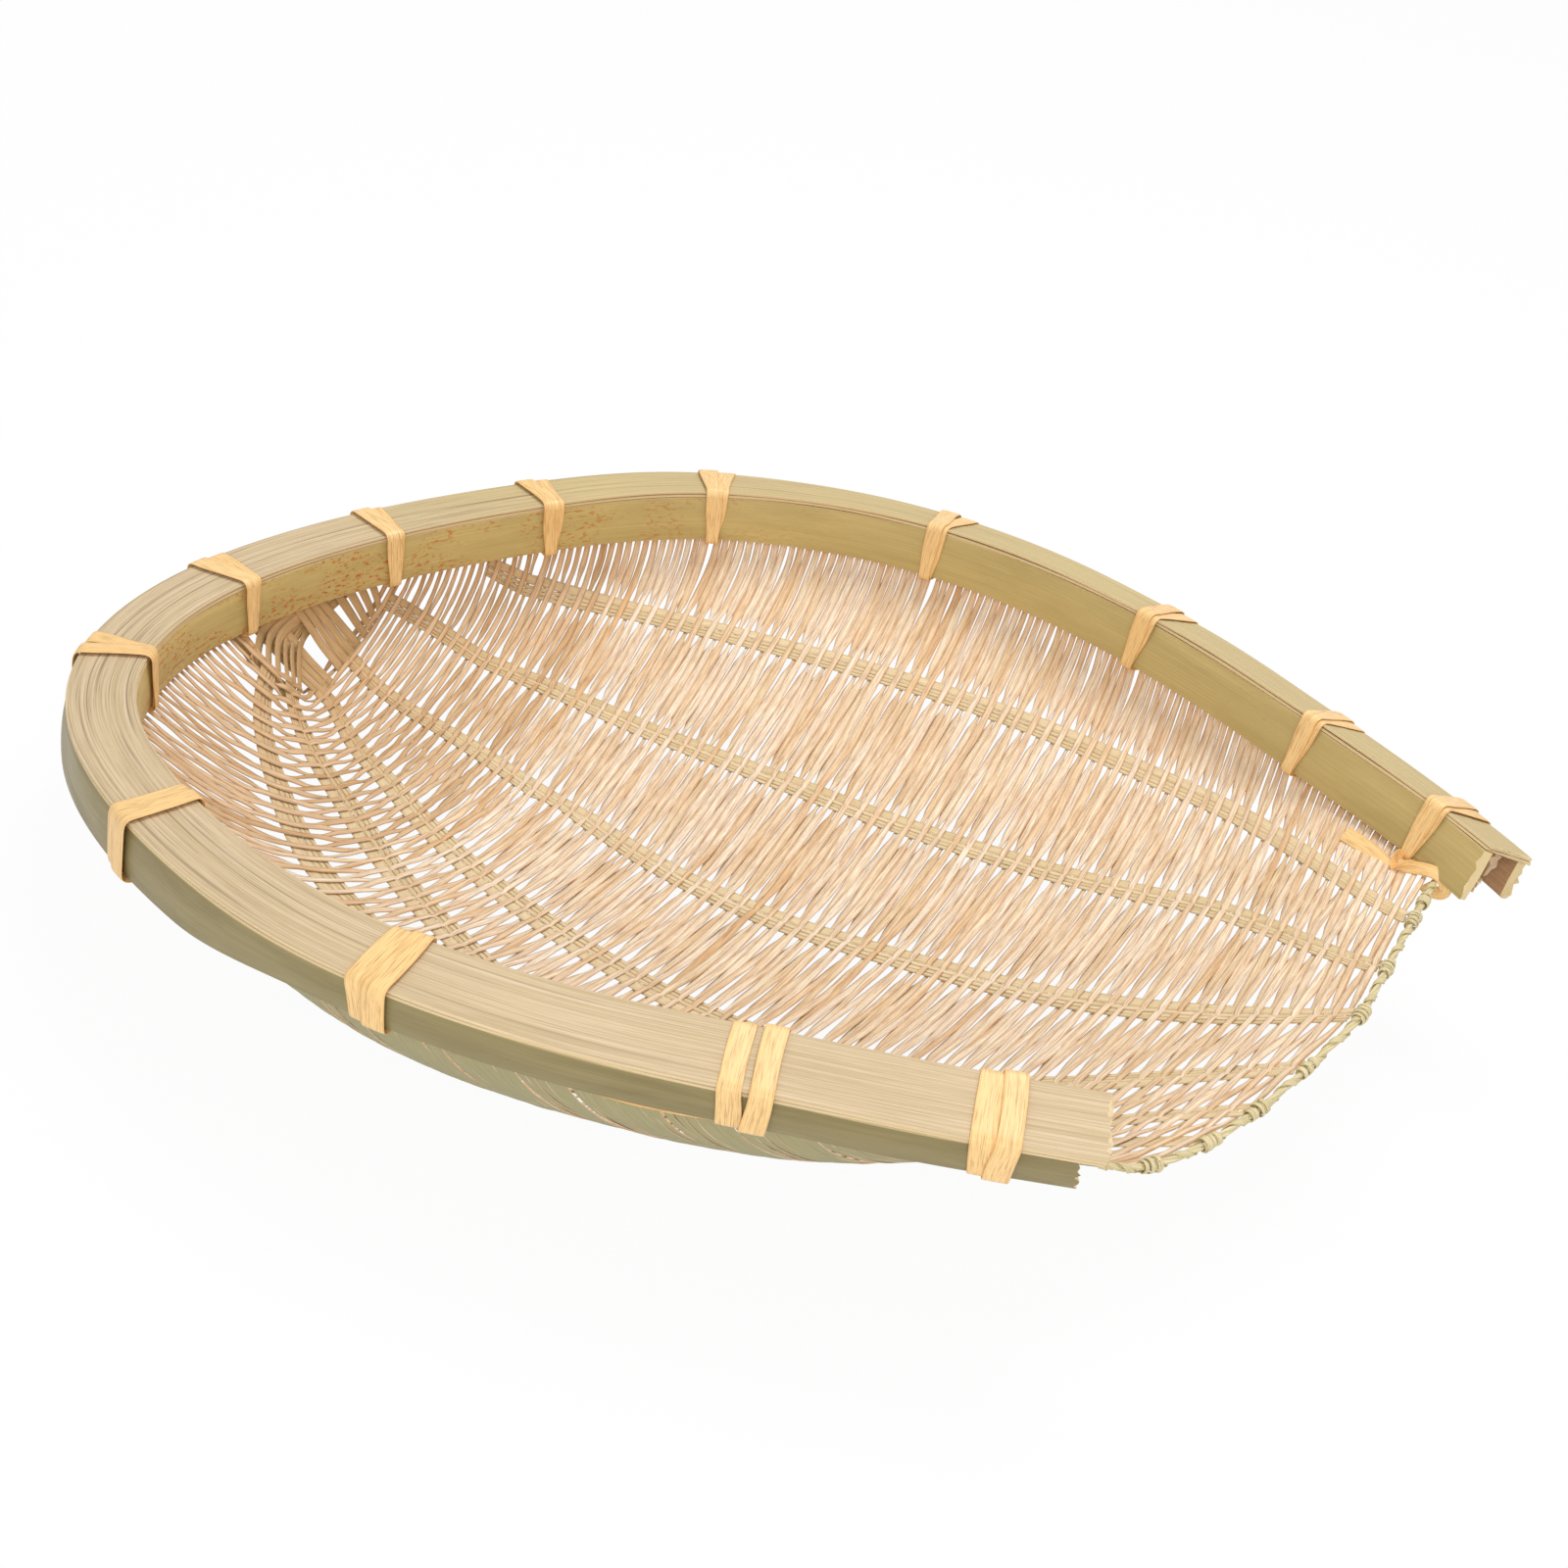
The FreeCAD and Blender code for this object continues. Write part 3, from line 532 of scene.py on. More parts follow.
class Bamboo(Nodes):
    """A bamboo material's nodes, with the strips' grain and the place on the basket."""

    def __init__(self, name):
        self.material = bpy.data.materials.new(name)
        super().__init__(self.material)
        self.sockets = self.tree.nodes["Principled BSDF"].inputs
        self.grain = self.attribute("grain", "Vector")
        self.cut = self.attribute("cut", "Fac")
        self.cut_edge = self.maths("MAXIMUM", self.cut, 0.0)
        place = self.add("SeparateXYZ", Vector=self.add("TexCoord").outputs["Object"])
        self.x = place.outputs[0]
        self.y = place.outputs[1]
        self.forward = self.plus(self.times(self.x, 2.2), 0.5)

    def attribute(self, name, output):
        node = self.add("Attribute")
        node.attribute_name = name
        return node.outputs[output]

    def noise(self, scale, detail=3.0, rough=0.6, distortion=0.0):
        stretched = self.add("VectorMath", _0=self.grain, _1=scale)
        stretched.operation = "MULTIPLY"
        node = self.add("TexNoise", Vector=stretched.outputs[0], Scale=1.0, Detail=detail,
                        Roughness=rough, Distortion=distortion)
        return node.outputs["Fac"]

    def ramp(self, value, *stops):
        node = self.add("ValToRGB", Fac=value)
        elements = node.color_ramp.elements
        while len(elements) < len(stops):
            elements.new(0.5)
        for element, (place, colour) in zip(elements, stops):
            element.position = place
            element.color = colour if isinstance(colour, tuple) else (colour,) * 3 + (1.0,)
        return node.outputs["Color"]

    def mix(self, share, first, second, mode="MIX"):
        node = self.tree.nodes.new("ShaderNodeMix")
        node.data_type = "RGBA"
        node.blend_type = mode
        self.join(share, node.inputs[0])
        self.join(first, node.inputs[6])
        self.join(second, node.inputs[7])
        return node.outputs[2]

    def finish(self, colour, rough, specular, height, strength, distance):
        """Join the surface to the shader and give back the material."""
        bump = self.add("Bump", Height=height, Strength=strength, Distance=distance)
        self.join(colour, self.sockets["Base Color"])
        self.join(rough, self.sockets["Roughness"])
        self.join(specular, self.sockets["Specular IOR Level"])
        self.join(bump.outputs[0], self.sockets["Normal"])
        return self.material


# Split strips: the weights of a strip's own tint and of its drift, the range of the tints, the
# colour that fine dark fibres multiply by, and the browner tint of what lies at the back.
OWN_WEIGHT = 0.62
DRIFT_WEIGHT = 0.5
TINT_RANGE = (0.22, 0.88)
FINE_FIBRE = (0.30, 0.17, 0.07, 1.0)
BACK_TINT = linear((214, 178, 134))
UNDERSIDE = linear((150, 146, 108)), linear((186, 174, 132))


def strip_material(name, tints, streak, cut, rough, under=None, coat=0.0, streak_share=0.55, bump=0.35,
                   fibre=2.6, edge_share=0.5, back_share=0.0):
    """Split bamboo: every strip has its own tint, long fine fibres and paler or darker edges; on the wefts
    the dark edges are painted shade between neighbouring strips.
    """
    m = Bamboo(name)
    own = m.add("TexWhiteNoise")
    own.noise_dimensions = "1D"
    m.join(m.add("SeparateXYZ", Vector=m.grain).outputs[2], own.inputs["W"])
    drift = m.noise((0.012, 0.12, 7.3), detail=2.0)
    where = m.plus(m.times(own.outputs["Value"], OWN_WEIGHT),
                    m.times(drift, DRIFT_WEIGHT))
    places = np.linspace(*TINT_RANGE, len(tints)).tolist()
    base = m.ramp(where, *zip(places, map(linear, tints)))
    fibres = m.noise((0.05, fibre, 3.7), detail=4.0, rough=0.7)
    streaks = m.times(m.ramp(fibres, (0.38, 0.0), (0.72, 1.0)), streak_share)
    colour = m.mix(streaks, base, linear(streak))
    fine = m.noise((0.12, fibre * 3.2, 5.1), detail=2.0)
    colour = m.mix(m.ramp(fine, (0.34, 0.55), (0.5, 0.0)), colour, FINE_FIBRE, "MULTIPLY")
    # Edge colour: pale on most strips, but dark on the wefts, where it is painted shade in the gaps between
    # neighbouring strips.
    colour = m.mix(m.times(m.cut_edge, edge_share), colour, linear(cut))
    if back_share:
        back = m.ramp(m.times(m.x, -4.0), (0.55, 0.0), (0.95, back_share))
        colour = m.mix(back, colour, BACK_TINT, "MULTIPLY")
    if under:
        below = m.ramp(m.times(m.cut, -1.0), (0.35, 0.0), (0.75, 1.0))
        colour = m.mix(below, colour, m.mix(fibres, *under))
    if coat:
        m.join(coat, m.sockets["Coat Weight"])
        m.join(0.35, m.sockets["Coat Roughness"])
    roughness = m.ramp(fibres, (0.3, rough), (0.7, rough + 0.15))
    return m.finish(colour, roughness, 0.35, m.plus(fibres, fine), bump, 0.00012)


# The wefts' dark cut colour is painted shade: the shadow lines between neighbouring wefts.
WEFT = strip_material(
    "weft_bamboo",
    tints=[(234, 210, 168), (250, 234, 204), (254, 243, 222), (240, 210, 168), (252, 238, 210),
           (230, 194, 146)],
    streak=(200, 142, 90), cut=(190, 138, 92), rough=0.5, under=UNDERSIDE,
    streak_share=0.78, fibre=1.5, edge_share=0.7)
# The back wefts' dark cut colour is painted shade: the shadow lines between neighbouring wefts.
WEFT_BACK = strip_material(
    "weft_bamboo_back",
    tints=[(222, 190, 148), (238, 208, 170), (230, 196, 154), (214, 176, 130)],
    streak=(178, 124, 76), cut=(160, 114, 72), rough=0.5, under=UNDERSIDE, fibre=1.5, edge_share=0.7)
RIB = strip_material(
    "rib_bamboo",
    tints=[(232, 208, 164), (242, 220, 180), (224, 200, 154), (236, 212, 170)],
    streak=(182, 148, 100), cut=(176, 144, 100), rough=0.5, under=UNDERSIDE,
    streak_share=0.45, edge_share=0.35, back_share=0.7)
LASHING = strip_material(
    "lashing_bamboo",
    tints=[(246, 200, 130), (250, 212, 150), (248, 206, 140)],
    streak=(236, 184, 114), cut=(226, 172, 100), rough=0.36, coat=0.15,
    streak_share=0.3, bump=0.15, fibre=1.2)
EDGE = strip_material(
    "mouth_edge_bamboo",
    tints=[(232, 214, 166), (242, 226, 186), (220, 204, 154)],
    streak=(176, 166, 112), cut=(196, 184, 134), rough=0.55, fibre=3.4, bump=0.7)
CORE = strip_material(
    "core_bamboo",
    tints=[(190, 150, 108), (204, 164, 122)],
    streak=(132, 92, 58), cut=(222, 200, 168), rough=0.7, fibre=1.6, bump=0.8)

# Bamboo skin: the colour of its flecks, and the dark and pale fibres of a hoop's rough back.
FLECK = linear((92, 78, 44))
ROUGH_BACK = linear((150, 108, 76)), linear((204, 166, 128))


def skin_material(name, near, far, dark, freckles, freckle_share, cut):
    """Bamboo skin: satin, with long faint fibres, fine dark flecks and brown freckles at the back."""
    m = Bamboo(name)
    dark = linear(dark)
    base = m.ramp(m.forward, (0.0, linear(far)), (0.9, linear(near)))
    clouds = m.noise((0.02, 0.12, 1.0), detail=4.0, distortion=0.4)
    colour = m.mix(m.ramp(clouds, (0.38, 0.0), (0.75, 0.55)), base, dark)
    lines = m.noise((0.008, 2.1, 1.0), detail=3.0, rough=0.65)
    colour = m.mix(m.ramp(lines, (0.42, 0.34), (0.6, 0.0)), colour, dark)
    flecks = m.noise((0.35, 1.9, 1.0), detail=2.0, rough=0.5)
    colour = m.mix(m.ramp(flecks, (0.70, 0.0), (0.78, 0.6)), colour, FLECK)
    spots = m.ramp(m.noise((0.3, 0.75, 2.0), detail=3.0, rough=0.7), (0.545, 0.0), (0.585, 1.0))
    patches = m.ramp(m.noise((0.03, 0.05, 9.0), detail=1.0), (0.42, 0.0), (0.52, 1.0))
    at_back = m.ramp(m.forward, (0.02, 1.0), (0.36, 0.0))
    amount = m.times(spots, m.times(patches, at_back))
    colour = m.mix(m.times(amount, freckle_share), colour, linear(freckles))
    colour = m.mix(m.cut_edge, colour, linear(cut))
    colour = m.mix(m.times(m.cut, -1.0), colour, m.mix(lines, *ROUGH_BACK))
    roughness = m.ramp(clouds, (0.3, 0.36), (0.7, 0.5))
    height = m.plus(lines, m.times(flecks, 0.4))
    return m.finish(colour, roughness, 0.4, height, 0.35, 0.00015)


INNER_SKIN = skin_material(
    "inner_hoop_skin", near=(200, 176, 116), far=(210, 186, 122), dark=(166, 144, 88),
    freckles=(190, 110, 48), freckle_share=1.0, cut=(226, 200, 148))
OUTER_SKIN = skin_material(
    "outer_hoop_skin", near=(146, 132, 88), far=(156, 142, 98), dark=(112, 98, 60),
    freckles=(150, 110, 60), freckle_share=0.3, cut=(216, 192, 142))


def split_face_material(name, pale, deep, left, line, groove_shade, cut):
    """The split face of the top strips: bundles of long straight fibres, with painted shade in its grooves
    and cracks, strongest at the back, and greener on the left."""
    m = Bamboo(name)
    groove_shade = linear(groove_shade)
    bands = m.noise((0.006, 0.35, 1.0), detail=3.0, distortion=0.3)
    base = m.mix(m.ramp(bands, (0.38, 0.0), (0.62, 1.0)), linear(pale), linear(deep))
    leftward = m.ramp(m.times(m.y, 5.0), (0.1, 0.0), (0.6, 0.75))
    base = m.mix(leftward, base, linear(left))
    lines = m.noise((0.012, 1.5, 1.0), detail=5.0, rough=0.75)
    colour = m.mix(m.ramp(lines, (0.42, 0.75), (0.56, 0.0)), base, linear(line))
    # Painted shade in the grooves and cracks of the split face, strongest at the back.
    shade_strength = m.ramp(m.forward, (0.1, 1.0), (0.75, 0.25))
    grooves = m.noise((0.02, 2.6, 4.0), detail=3.0, rough=0.7)
    groove_shade_mask = m.ramp(grooves, (0.30, 0.85), (0.43, 0.0))
    colour = m.mix(m.times(groove_shade_mask, shade_strength), colour, groove_shade)
    crack_shade = m.ramp(m.noise((0.006, 0.85, 11.0), detail=2.0, rough=0.5), (0.34, 0.6), (0.39, 0.0))
    colour = m.mix(m.times(crack_shade, shade_strength), colour, groove_shade)
    colour = m.mix(m.times(m.cut, 0.7), colour, linear(cut))
    roughness = m.ramp(lines, (0.3, 0.5), (0.7, 0.68))
    return m.finish(colour, roughness, 0.3, m.plus(lines, grooves), 0.6, 0.0002)


# The dark groove colour is painted shade in the grooves and cracks of the split face.
TOP = split_face_material(
    "top_strip_bamboo", pale=(222, 198, 164), deep=(206, 184, 146), left=(206, 186, 126),
    line=(184, 160, 122), groove_shade=(120, 98, 76), cut=(232, 206, 160))


# ---- rim ----
# A bar's stations along the rim, and the lengths of its unevenness.
STATION_STEP = 2.4
WOBBLE_ACROSS = 90
WOBBLE_DOWN = 130
RAGGED_LENGTH = 5


def rim_stations(start, finish, step=STATION_STEP):
    return np.linspace(start, finish, int((finish - start) / step) + 2)


def outer_flare(s):
    """How far the outer hoop's foot spreads and hangs lower, from 0 to 1."""
    return rise(s, *FLARE_GROWS) * (1 - rise(s, *FLARE_FADES))


def add_rim_bar(piece, section, cut, start, finish, seed, jag=0.0, wobble=0.0, slant=0.0, flare=False):
    """A bar along the rim with a section in u and v; its ends may be ragged or slanted."""
    section = np.array(section, float)
    s = rim_stations(start, finish)
    rng = chance(seed, 17)
    u = section[:, 0] + wander(rng, s, WOBBLE_ACROSS, wobble)[:, None]
    v = section[:, 1] + wander(rng, s, WOBBLE_DOWN, wobble)[:, None]
    along = np.broadcast_to(s[:, None], u.shape).copy()
    ragged = wander(rng, section[:, 0] * 2 + section[:, 1] * 1.3, RAGGED_LENGTH, jag)
    slanted = slant * (section[:, 1] - section[:, 1].mean())
    along[0] += ragged - slanted
    along[-1] += ragged + slanted
    if flare:
        foot = outer_flare(along) * np.clip((v - HOOPS_TOP) / (OUTER_DEPTH - HOOPS_TOP), 0, 1)
        u = u + foot * FLARE_OUT
        v = v + foot * FLARE_DOWN
    grain = np.stack([
        along, np.broadcast_to(arc_lengths(section), u.shape), np.full(u.shape, float(seed))], -1)
    piece.bar(rim_point(along, u, v), grain, np.broadcast_to(np.array(cut, float), u.shape))


# A hoop's section: points across its skin, its rounded lip, the corners of its back and how far
# that back is hollowed. The outer hoop starts a little short of the near arm's end.
BELLY_POINTS = 9
LIP = 0.35
BACK_CORNER = 0.4
BACK_HOLLOW = 0.3
LOWER_CHAMFER = (0.1, 0.6)
UPPER_CHAMFER = (0.05, 0.5)
UPPER_LIP = 0.02
OUTER_HOOP_SHORT = 7


def hoop(name, inner, depth, start, material, seed):
    """A split half of a bamboo pole: the skin bulges, the split edges are pale, the back is rough."""
    back = HOOP_THICKNESS
    section = []
    for t in np.linspace(0, 1, BELLY_POINTS):
        bulge = HOOP_BELLY * (1 - (2 * t - 1) ** 2)
        section.append((-bulge, HOOPS_TOP + LIP + (depth - HOOPS_TOP - 2 * LIP) * t))
    section += [
        (LIP, depth), (back - BACK_CORNER, depth - LOWER_CHAMFER[0]), (back, depth - LOWER_CHAMFER[1]),
        (back - BACK_HOLLOW, (depth + HOOPS_TOP) / 2), (back, HOOPS_TOP + UPPER_CHAMFER[1]),
        (back - BACK_CORNER, HOOPS_TOP + UPPER_CHAMFER[0]), (LIP, HOOPS_TOP + UPPER_LIP),
    ]
    cut = [0.0] * BELLY_POINTS + [1.0, 1.0, -1.0, -1.0, -1.0, 1.0, 1.0]
    section = np.array(section)
    if not inner:
        section[:, 0] = RIM_WIDTH - section[:, 0]
        section = section[::-1]
        cut = cut[::-1]
    piece = Piece()
    add_rim_bar(piece, section, cut, start, LEFT_ARM, seed,
                jag=0.9, wobble=0.12, slant=0.12, flare=not inner)
    piece.make(name, material, sharp=35)


hoop("inner_hoop", True, INNER_DEPTH, -RIGHT_ARM, INNER_SKIN, INNER_HOOP_NUMBER)
hoop("outer_hoop", False, OUTER_DEPTH, OUTER_HOOP_SHORT - RIGHT_ARM, OUTER_SKIN, OUTER_HOOP_NUMBER)

# A top strip's section: the spaces between its fibres, how far they stand out, and its corners.
FIBRE_SPACES = 24
FIBRE_RELIEF = 0.12
TOP_CORNER = 0.3
TOP_LOWER_CORNER = 0.2
FACE_CUT = 0.4


def top_strip(name, layer, seed):
    """Thin split strip on top of both hoops; its surface follows its fibres."""
    rng = chance(seed, 3)
    low = layer * (TOP_STRIP + SEAT)
    foot = low + TOP_STRIP
    face = RIM_WIDTH - 2 * TOP_CORNER
    section = []
    for i in range(FIBRE_SPACES + 1):
        section.append((TOP_CORNER + face * i / FIBRE_SPACES, low + FIBRE_RELIEF * rng.random()))
    section += [
        (RIM_WIDTH, low + TOP_CORNER), (RIM_WIDTH, foot - TOP_LOWER_CORNER), (RIM_WIDTH - TOP_CORNER, foot),
        (TOP_CORNER, foot), (0, foot - TOP_LOWER_CORNER), (0, low + TOP_CORNER),
    ]
    cut = [0.0] * (FIBRE_SPACES + 1) + [1.0, 1.0, FACE_CUT, FACE_CUT, 1.0, 1.0]
    piece = Piece()
    add_rim_bar(piece, section, cut, -RIGHT_ARM, LEFT_ARM, seed, jag=0.8, wobble=0.1)
    piece.make(name, TOP)


top_strip("top_strip_upper", 0, TOP_NUMBERS[0])
top_strip("top_strip_lower", 1, TOP_NUMBERS[1])

# Inside the rim: the wefts' ends reach END_REACH beyond their seat, then come the thin strips of
# the edge ribs, and the rough core, which lies above them.
END_REACH = 0.4
EDGE_STRIP = 0.6
EDGE_STRIP_HEIGHT = 2.0
EDGE_STRIP_CHAMFER = 0.1
EDGE_STRIP_PITCH = 2.15
EDGE_STRIPS = 3
CORE_RADIUS = 3.0
CORE_FLATTENING = 0.9
CORE_HALF_HEIGHT = 4.9
CORE_MIDDLE = 5.1
CORE_POINTS = 14
CORE_SHORT = 2
CORE_DEPTH = 10.0


def core_strip():
    """Rough half-round filler under the top strips, inside the hoop."""
    seat = WEFT_SEAT + END_REACH + SEAT + EDGE_STRIP + SEAT
    section = []
    for i in range(CORE_POINTS):
        angle = TURN * i / CORE_POINTS
        u = CORE_RADIUS * math.cos(angle) * (1 if math.cos(angle) > 0 else CORE_FLATTENING)
        v = CORE_MIDDLE + CORE_HALF_HEIGHT * math.sin(angle)
        section.append((seat + CORE_RADIUS + u, HOOPS_TOP + v))
    piece = Piece()
    add_rim_bar(piece, section, [0.2] * CORE_POINTS, CORE_SHORT - RIGHT_ARM, LEFT_ARM - CORE_SHORT,
                CORE_NUMBER, jag=1.4, wobble=0.25)
    piece.make("core_strip", CORE)


core_strip()


def edge_rib(name, start, finish, seed):
    """Thin strips under the core, between the wefts' ends and the outer hoop."""
    seat = WEFT_SEAT + END_REACH + SEAT
    face = seat + EDGE_STRIP
    piece = Piece()
    for i in range(EDGE_STRIPS):
        low = HOOPS_TOP + CORE_DEPTH + SEAT + i * EDGE_STRIP_PITCH
        foot = low + EDGE_STRIP_HEIGHT
        chamfer = EDGE_STRIP_CHAMFER
        section = [(seat, low), (face, low + chamfer), (face, foot - chamfer), (seat, foot)]
        add_rim_bar(piece, section, [0.5] * len(section), start, finish, seed + i, jag=0.6, wobble=0.1)
    piece.make(name, RIB)


edge_rib("edge_rib_right", -RIGHT_ARM, -WEFT_PLACES[-1][0], EDGE_RIB_NUMBERS[0])
edge_rib("edge_rib_left", WEFT_PLACES[1][0], LEFT_ARM, EDGE_RIB_NUMBERS[1])


# ---- wefts ----
# A weft's line: step between its points, the runs in which it sinks to the rim's level and
# becomes free of it, the least room between two ribs, the margin that it keeps beside one, and
# how much deeper it weaves at the back.
WEFT_STEP = 1.9
SINKING_RUN = 14.0
FREE_RUN = 12.0
LEAST_ROOM = 0.5
RIB_MARGIN = 0.6
WEAVE_AT_BACK = 1.3
WEFT_THICKNESS = 0.5
MOUTH_THICKENING = 0.6
THICKENS = (133, 5)

# Its width, as a share of its pitch: under a rib and over it, free of it at the back and past
# FULL_AT, less at the mouth and towards the rim. It opens to the free share over OPENING,
# and stays between the two WIDTHS, in millimetres.
SHARE_UNDER = 0.5
SHARE_OVER = 0.34
OVER_RUN = 0.6
SHARE_BACK = 0.74
SHARE_GROWTH = 0.38
SHARE_MOUTH_LOSS = 0.26
MOUTH_LOSS = (132, 6)
SHARE_RIM = 0.76
RIM_RUN = 28.0
OPENING = (1.2, 8.5)
FULL_AT = 45
WIDTHS = (1.5, 3.9)
BACK_WEFTS = 30

# The open net on the right at the back: neighbours swing to and from each other.
NET_FADES = (18, 34)
NET_OPENS = (1, 4)
NET_PERIOD = 19.0
NET_SWING = 0.4
NET_CALM = 0.6

# Unevenness: length and size of each wave, in millimetres, shares or radians.
STRAYING = (95, 0.4)
RIPPLE = (40, 0.1)
UNEVEN_WIDTH = (70, 0.07)
WIDTH_RANGE = (-0.1, 0.08)
TWISTING = (55, 0.09)
OWN_TWIST = 0.07
TUCK_POINTS = 4


def weave_level(arcs, crossings, half):
    """Height over the mat's middle: 1 over a rib, -1 under it, smooth between, 0 at the rim."""
    level = np.zeros_like(arcs)
    first, last = crossings[0], crossings[-1]
    rising = smooth((arcs - first[0] + half) / SINKING_RUN + 1)
    falling = smooth((last[0] + half - arcs) / SINKING_RUN + 1)
    level = np.where(arcs <= first[0], first[1] * rising, level)
    level = np.where(arcs >= last[0], last[1] * falling, level)
    for (low, low_sign), (high, high_sign) in zip(crossings, crossings[1:]):
        room = max(high - low - 2 * half, LEAST_ROOM)
        between = low_sign + (high_sign - low_sign) * smooth((arcs - low - half) / room)
        level = np.where((arcs > low) & (arcs < high), between, level)
    return level


def weft_crossings(k, at, centre):
    """Where the ribs cross weft k, and whether it lies over them (1) or under them (-1)."""
    crossings = []
    for rib in sorted(RIBS):
        if k >= RIB_STARTS.get(rib, 0):
            place = mat_point(k, rib_side(rib), rib_track(rib, k))
            arc = at[np.argmin(norm(centre - place, axis=1))]
            crossings.append((arc, 1 if (rib + k) % 2 == 0 else -1))
    return crossings


def weft_share(k, level, clear, from_rim):
    """The share of its pitch that weft k fills, at each of its points."""
    packed = SHARE_BACK + SHARE_GROWTH * smooth(k / FULL_AT)
    packed -= SHARE_MOUTH_LOSS * rise(k, *MOUTH_LOSS)
    at_rib = SHARE_UNDER + SHARE_OVER * smooth(level / OVER_RUN + 0.5)
    share = at_rib + (packed - at_rib) * rise(clear, *OPENING)
    return share * (SHARE_RIM + (1 - SHARE_RIM) * smooth(from_rim / RIM_RUN))


def tucked_end(k, side, along, normal):
    """Weft k's end, turned up behind the inner hoop: its points, and directions like the given."""
    place = weft_end_place(k, side)
    _, direction, across, _ = rim_axes(place)
    rises = TUCK * np.linspace(1, 0, TUCK_POINTS, endpoint=False)
    seats = np.full(TUCK_POINTS, WEFT_SEAT)
    points = rim_point(np.full(TUCK_POINTS, place), seats, INNER_DEPTH - rises)
    direction = direction * math.copysign(1, np.dot(direction, along))
    across = across * math.copysign(1, np.dot(across, normal))
    return points, np.tile(direction, (TUCK_POINTS, 1)), np.tile(across, (TUCK_POINTS, 1))


def add_weft(piece, k):
    """One strip from rim to rim, over and under the ribs, split by hand and so a little uneven."""
    rng = chance(k, 101)
    line = weft_line(k)
    lengths = arc_lengths(line)
    total = lengths[-1]
    at = np.linspace(0, total, int(total / WEFT_STEP))
    centre, onward = resampled(at, lengths, line, weft_line(k + 0.5) - weft_line(k - 0.5))
    along = unit(np.gradient(centre, axis=0))
    onward = onward - along * np.sum(onward * along, -1, keepdims=True)
    spacing = norm(onward, axis=1)
    onward = unit(onward)
    normal = np.cross(onward, along)

    half = (RIB_WIDTH / 2 + RIB_MARGIN) * rib_spread(k)
    crossings = weft_crossings(k, at, centre)
    level = weave_level(at, crossings, half)
    clear = np.min([np.abs(at - arc) for arc, _ in crossings], axis=0) - half
    free = smooth(at / FREE_RUN) * smooth((total - at) / FREE_RUN)
    net = (1 - rise(k, *NET_FADES)) * rise(clear, *NET_OPENS)
    swing = np.where(at < total / 2, NET_SWING, 0.0)
    zigzag = np.sin(at * (TURN / NET_PERIOD) + math.pi * k) * net * swing
    aside = (wander(rng, at, *STRAYING) * (1 - NET_CALM * net) + zigzag) * free
    weave = WEAVE_OFFSET * (WEAVE_AT_BACK - (WEAVE_AT_BACK - 1) * smooth(k / FULL_AT))
    lift = weave * level + wander(rng, at, *RIPPLE) * free
    centre = centre + normal * lift[:, None] + onward * aside[:, None]

    share = weft_share(k, level, clear, np.minimum(at, total - at))
    width = spacing * share * (1 + wander(rng, at, *UNEVEN_WIDTH) + rng.uniform(*WIDTH_RANGE))
    twist = ((wander(rng, at, *TWISTING) + OWN_TWIST * rng.standard_normal()) * free)[:, None]
    side = onward * np.cos(twist) + normal * np.sin(twist)
    normal = normal * np.cos(twist) - onward * np.sin(twist)

    right = tucked_end(k, -1, side[0], normal[0])
    left = tucked_end(k, 1, side[-1], normal[-1])
    middle = (centre, side, normal)
    centre, side, normal = (np.vstack([r, m, l[::-1]]) for r, m, l in zip(right, middle, left))
    width = np.pad(np.clip(width, *WIDTHS), TUCK_POINTS, mode="edge")
    thickness = WEFT_THICKNESS + MOUTH_THICKENING * rise(k, *THICKENS)
    add_strip(piece, centre, side, normal, width, thickness, k + 0.5)


def wefts():
    for first in range(0, WEFT_COUNT, WEFTS_PER_NODE):
        piece = Piece()
        for k in range(first, first + WEFTS_PER_NODE):
            add_weft(piece, k)
        material = WEFT if first >= BACK_WEFTS else WEFT_BACK
        piece.make("wefts_%02d" % (first // WEFTS_PER_NODE + 1), material, sharp=60)


wefts()


# ---- ribs ----
# Bands of the ribs that climb the gusset: rib, side and t of their feet on the first wefts,
# places on the rim, level in the small weave, and how many strips.
GUSSET_BANDS = [
    (-1, 1, 0.985, 0.76, -21.0, -5.0, 0.0, 4), (-1, -1, 0.62, 0.36, -30.0, -23.0, -0.6, 2),
    (0, 1, 0.70, 0.47, 2.0, 17.0, 1.2, 4), (-3, -1, 0.10, 0.33, 3.0, 21.0, 0.7, 3),
    (-2, -1, 0.36, 0.56, 25.0, 40.0, -1.4, 3), (0, 1, 0.45, 0.26, 22.0, 45.0, -0.4, 4),
]
GUSSET_FOOT = 1.8
GUSSET_UNDER = 1.3
GUSSET_STEPS = 12
GUSSET_POINTS = 40
GUSSET_FACING = np.array([1.0, 0, 0.2])
GUSSET_FILL = (0.9, 0.06)

# Strips of a rib, as shares of its width from its middle, and the gap between two of them.
RIB_SPLITS = [(-0.5, -0.06), (-0.05, 0.14), (0.15, 0.32), (0.33, 0.5)]
STRIP_GAP = 0.06
RIB_THICKNESS = 0.6
RIB_STEP = 2.0
RIB_TRACK_STEP = 0.8
RIB_STOP = 0.95
RIB_RIPPLE = (40, 0.03)
RIB_STRAYING = (80, 0.08)
BROAD_LIFT = 0.06


def gusset_x(y, z):
    """The back wall between the two halves of the weave, from the rim down to the apex."""
    rim = rim_point(y, WEFT_SEAT, INNER_DEPTH)
    share = (rim[2] - z) / (rim[2] - FLOOR_HEIGHT)
    return rim[0] + (APEX_X - rim[0]) * min(max(share, 0.0), 1.0)


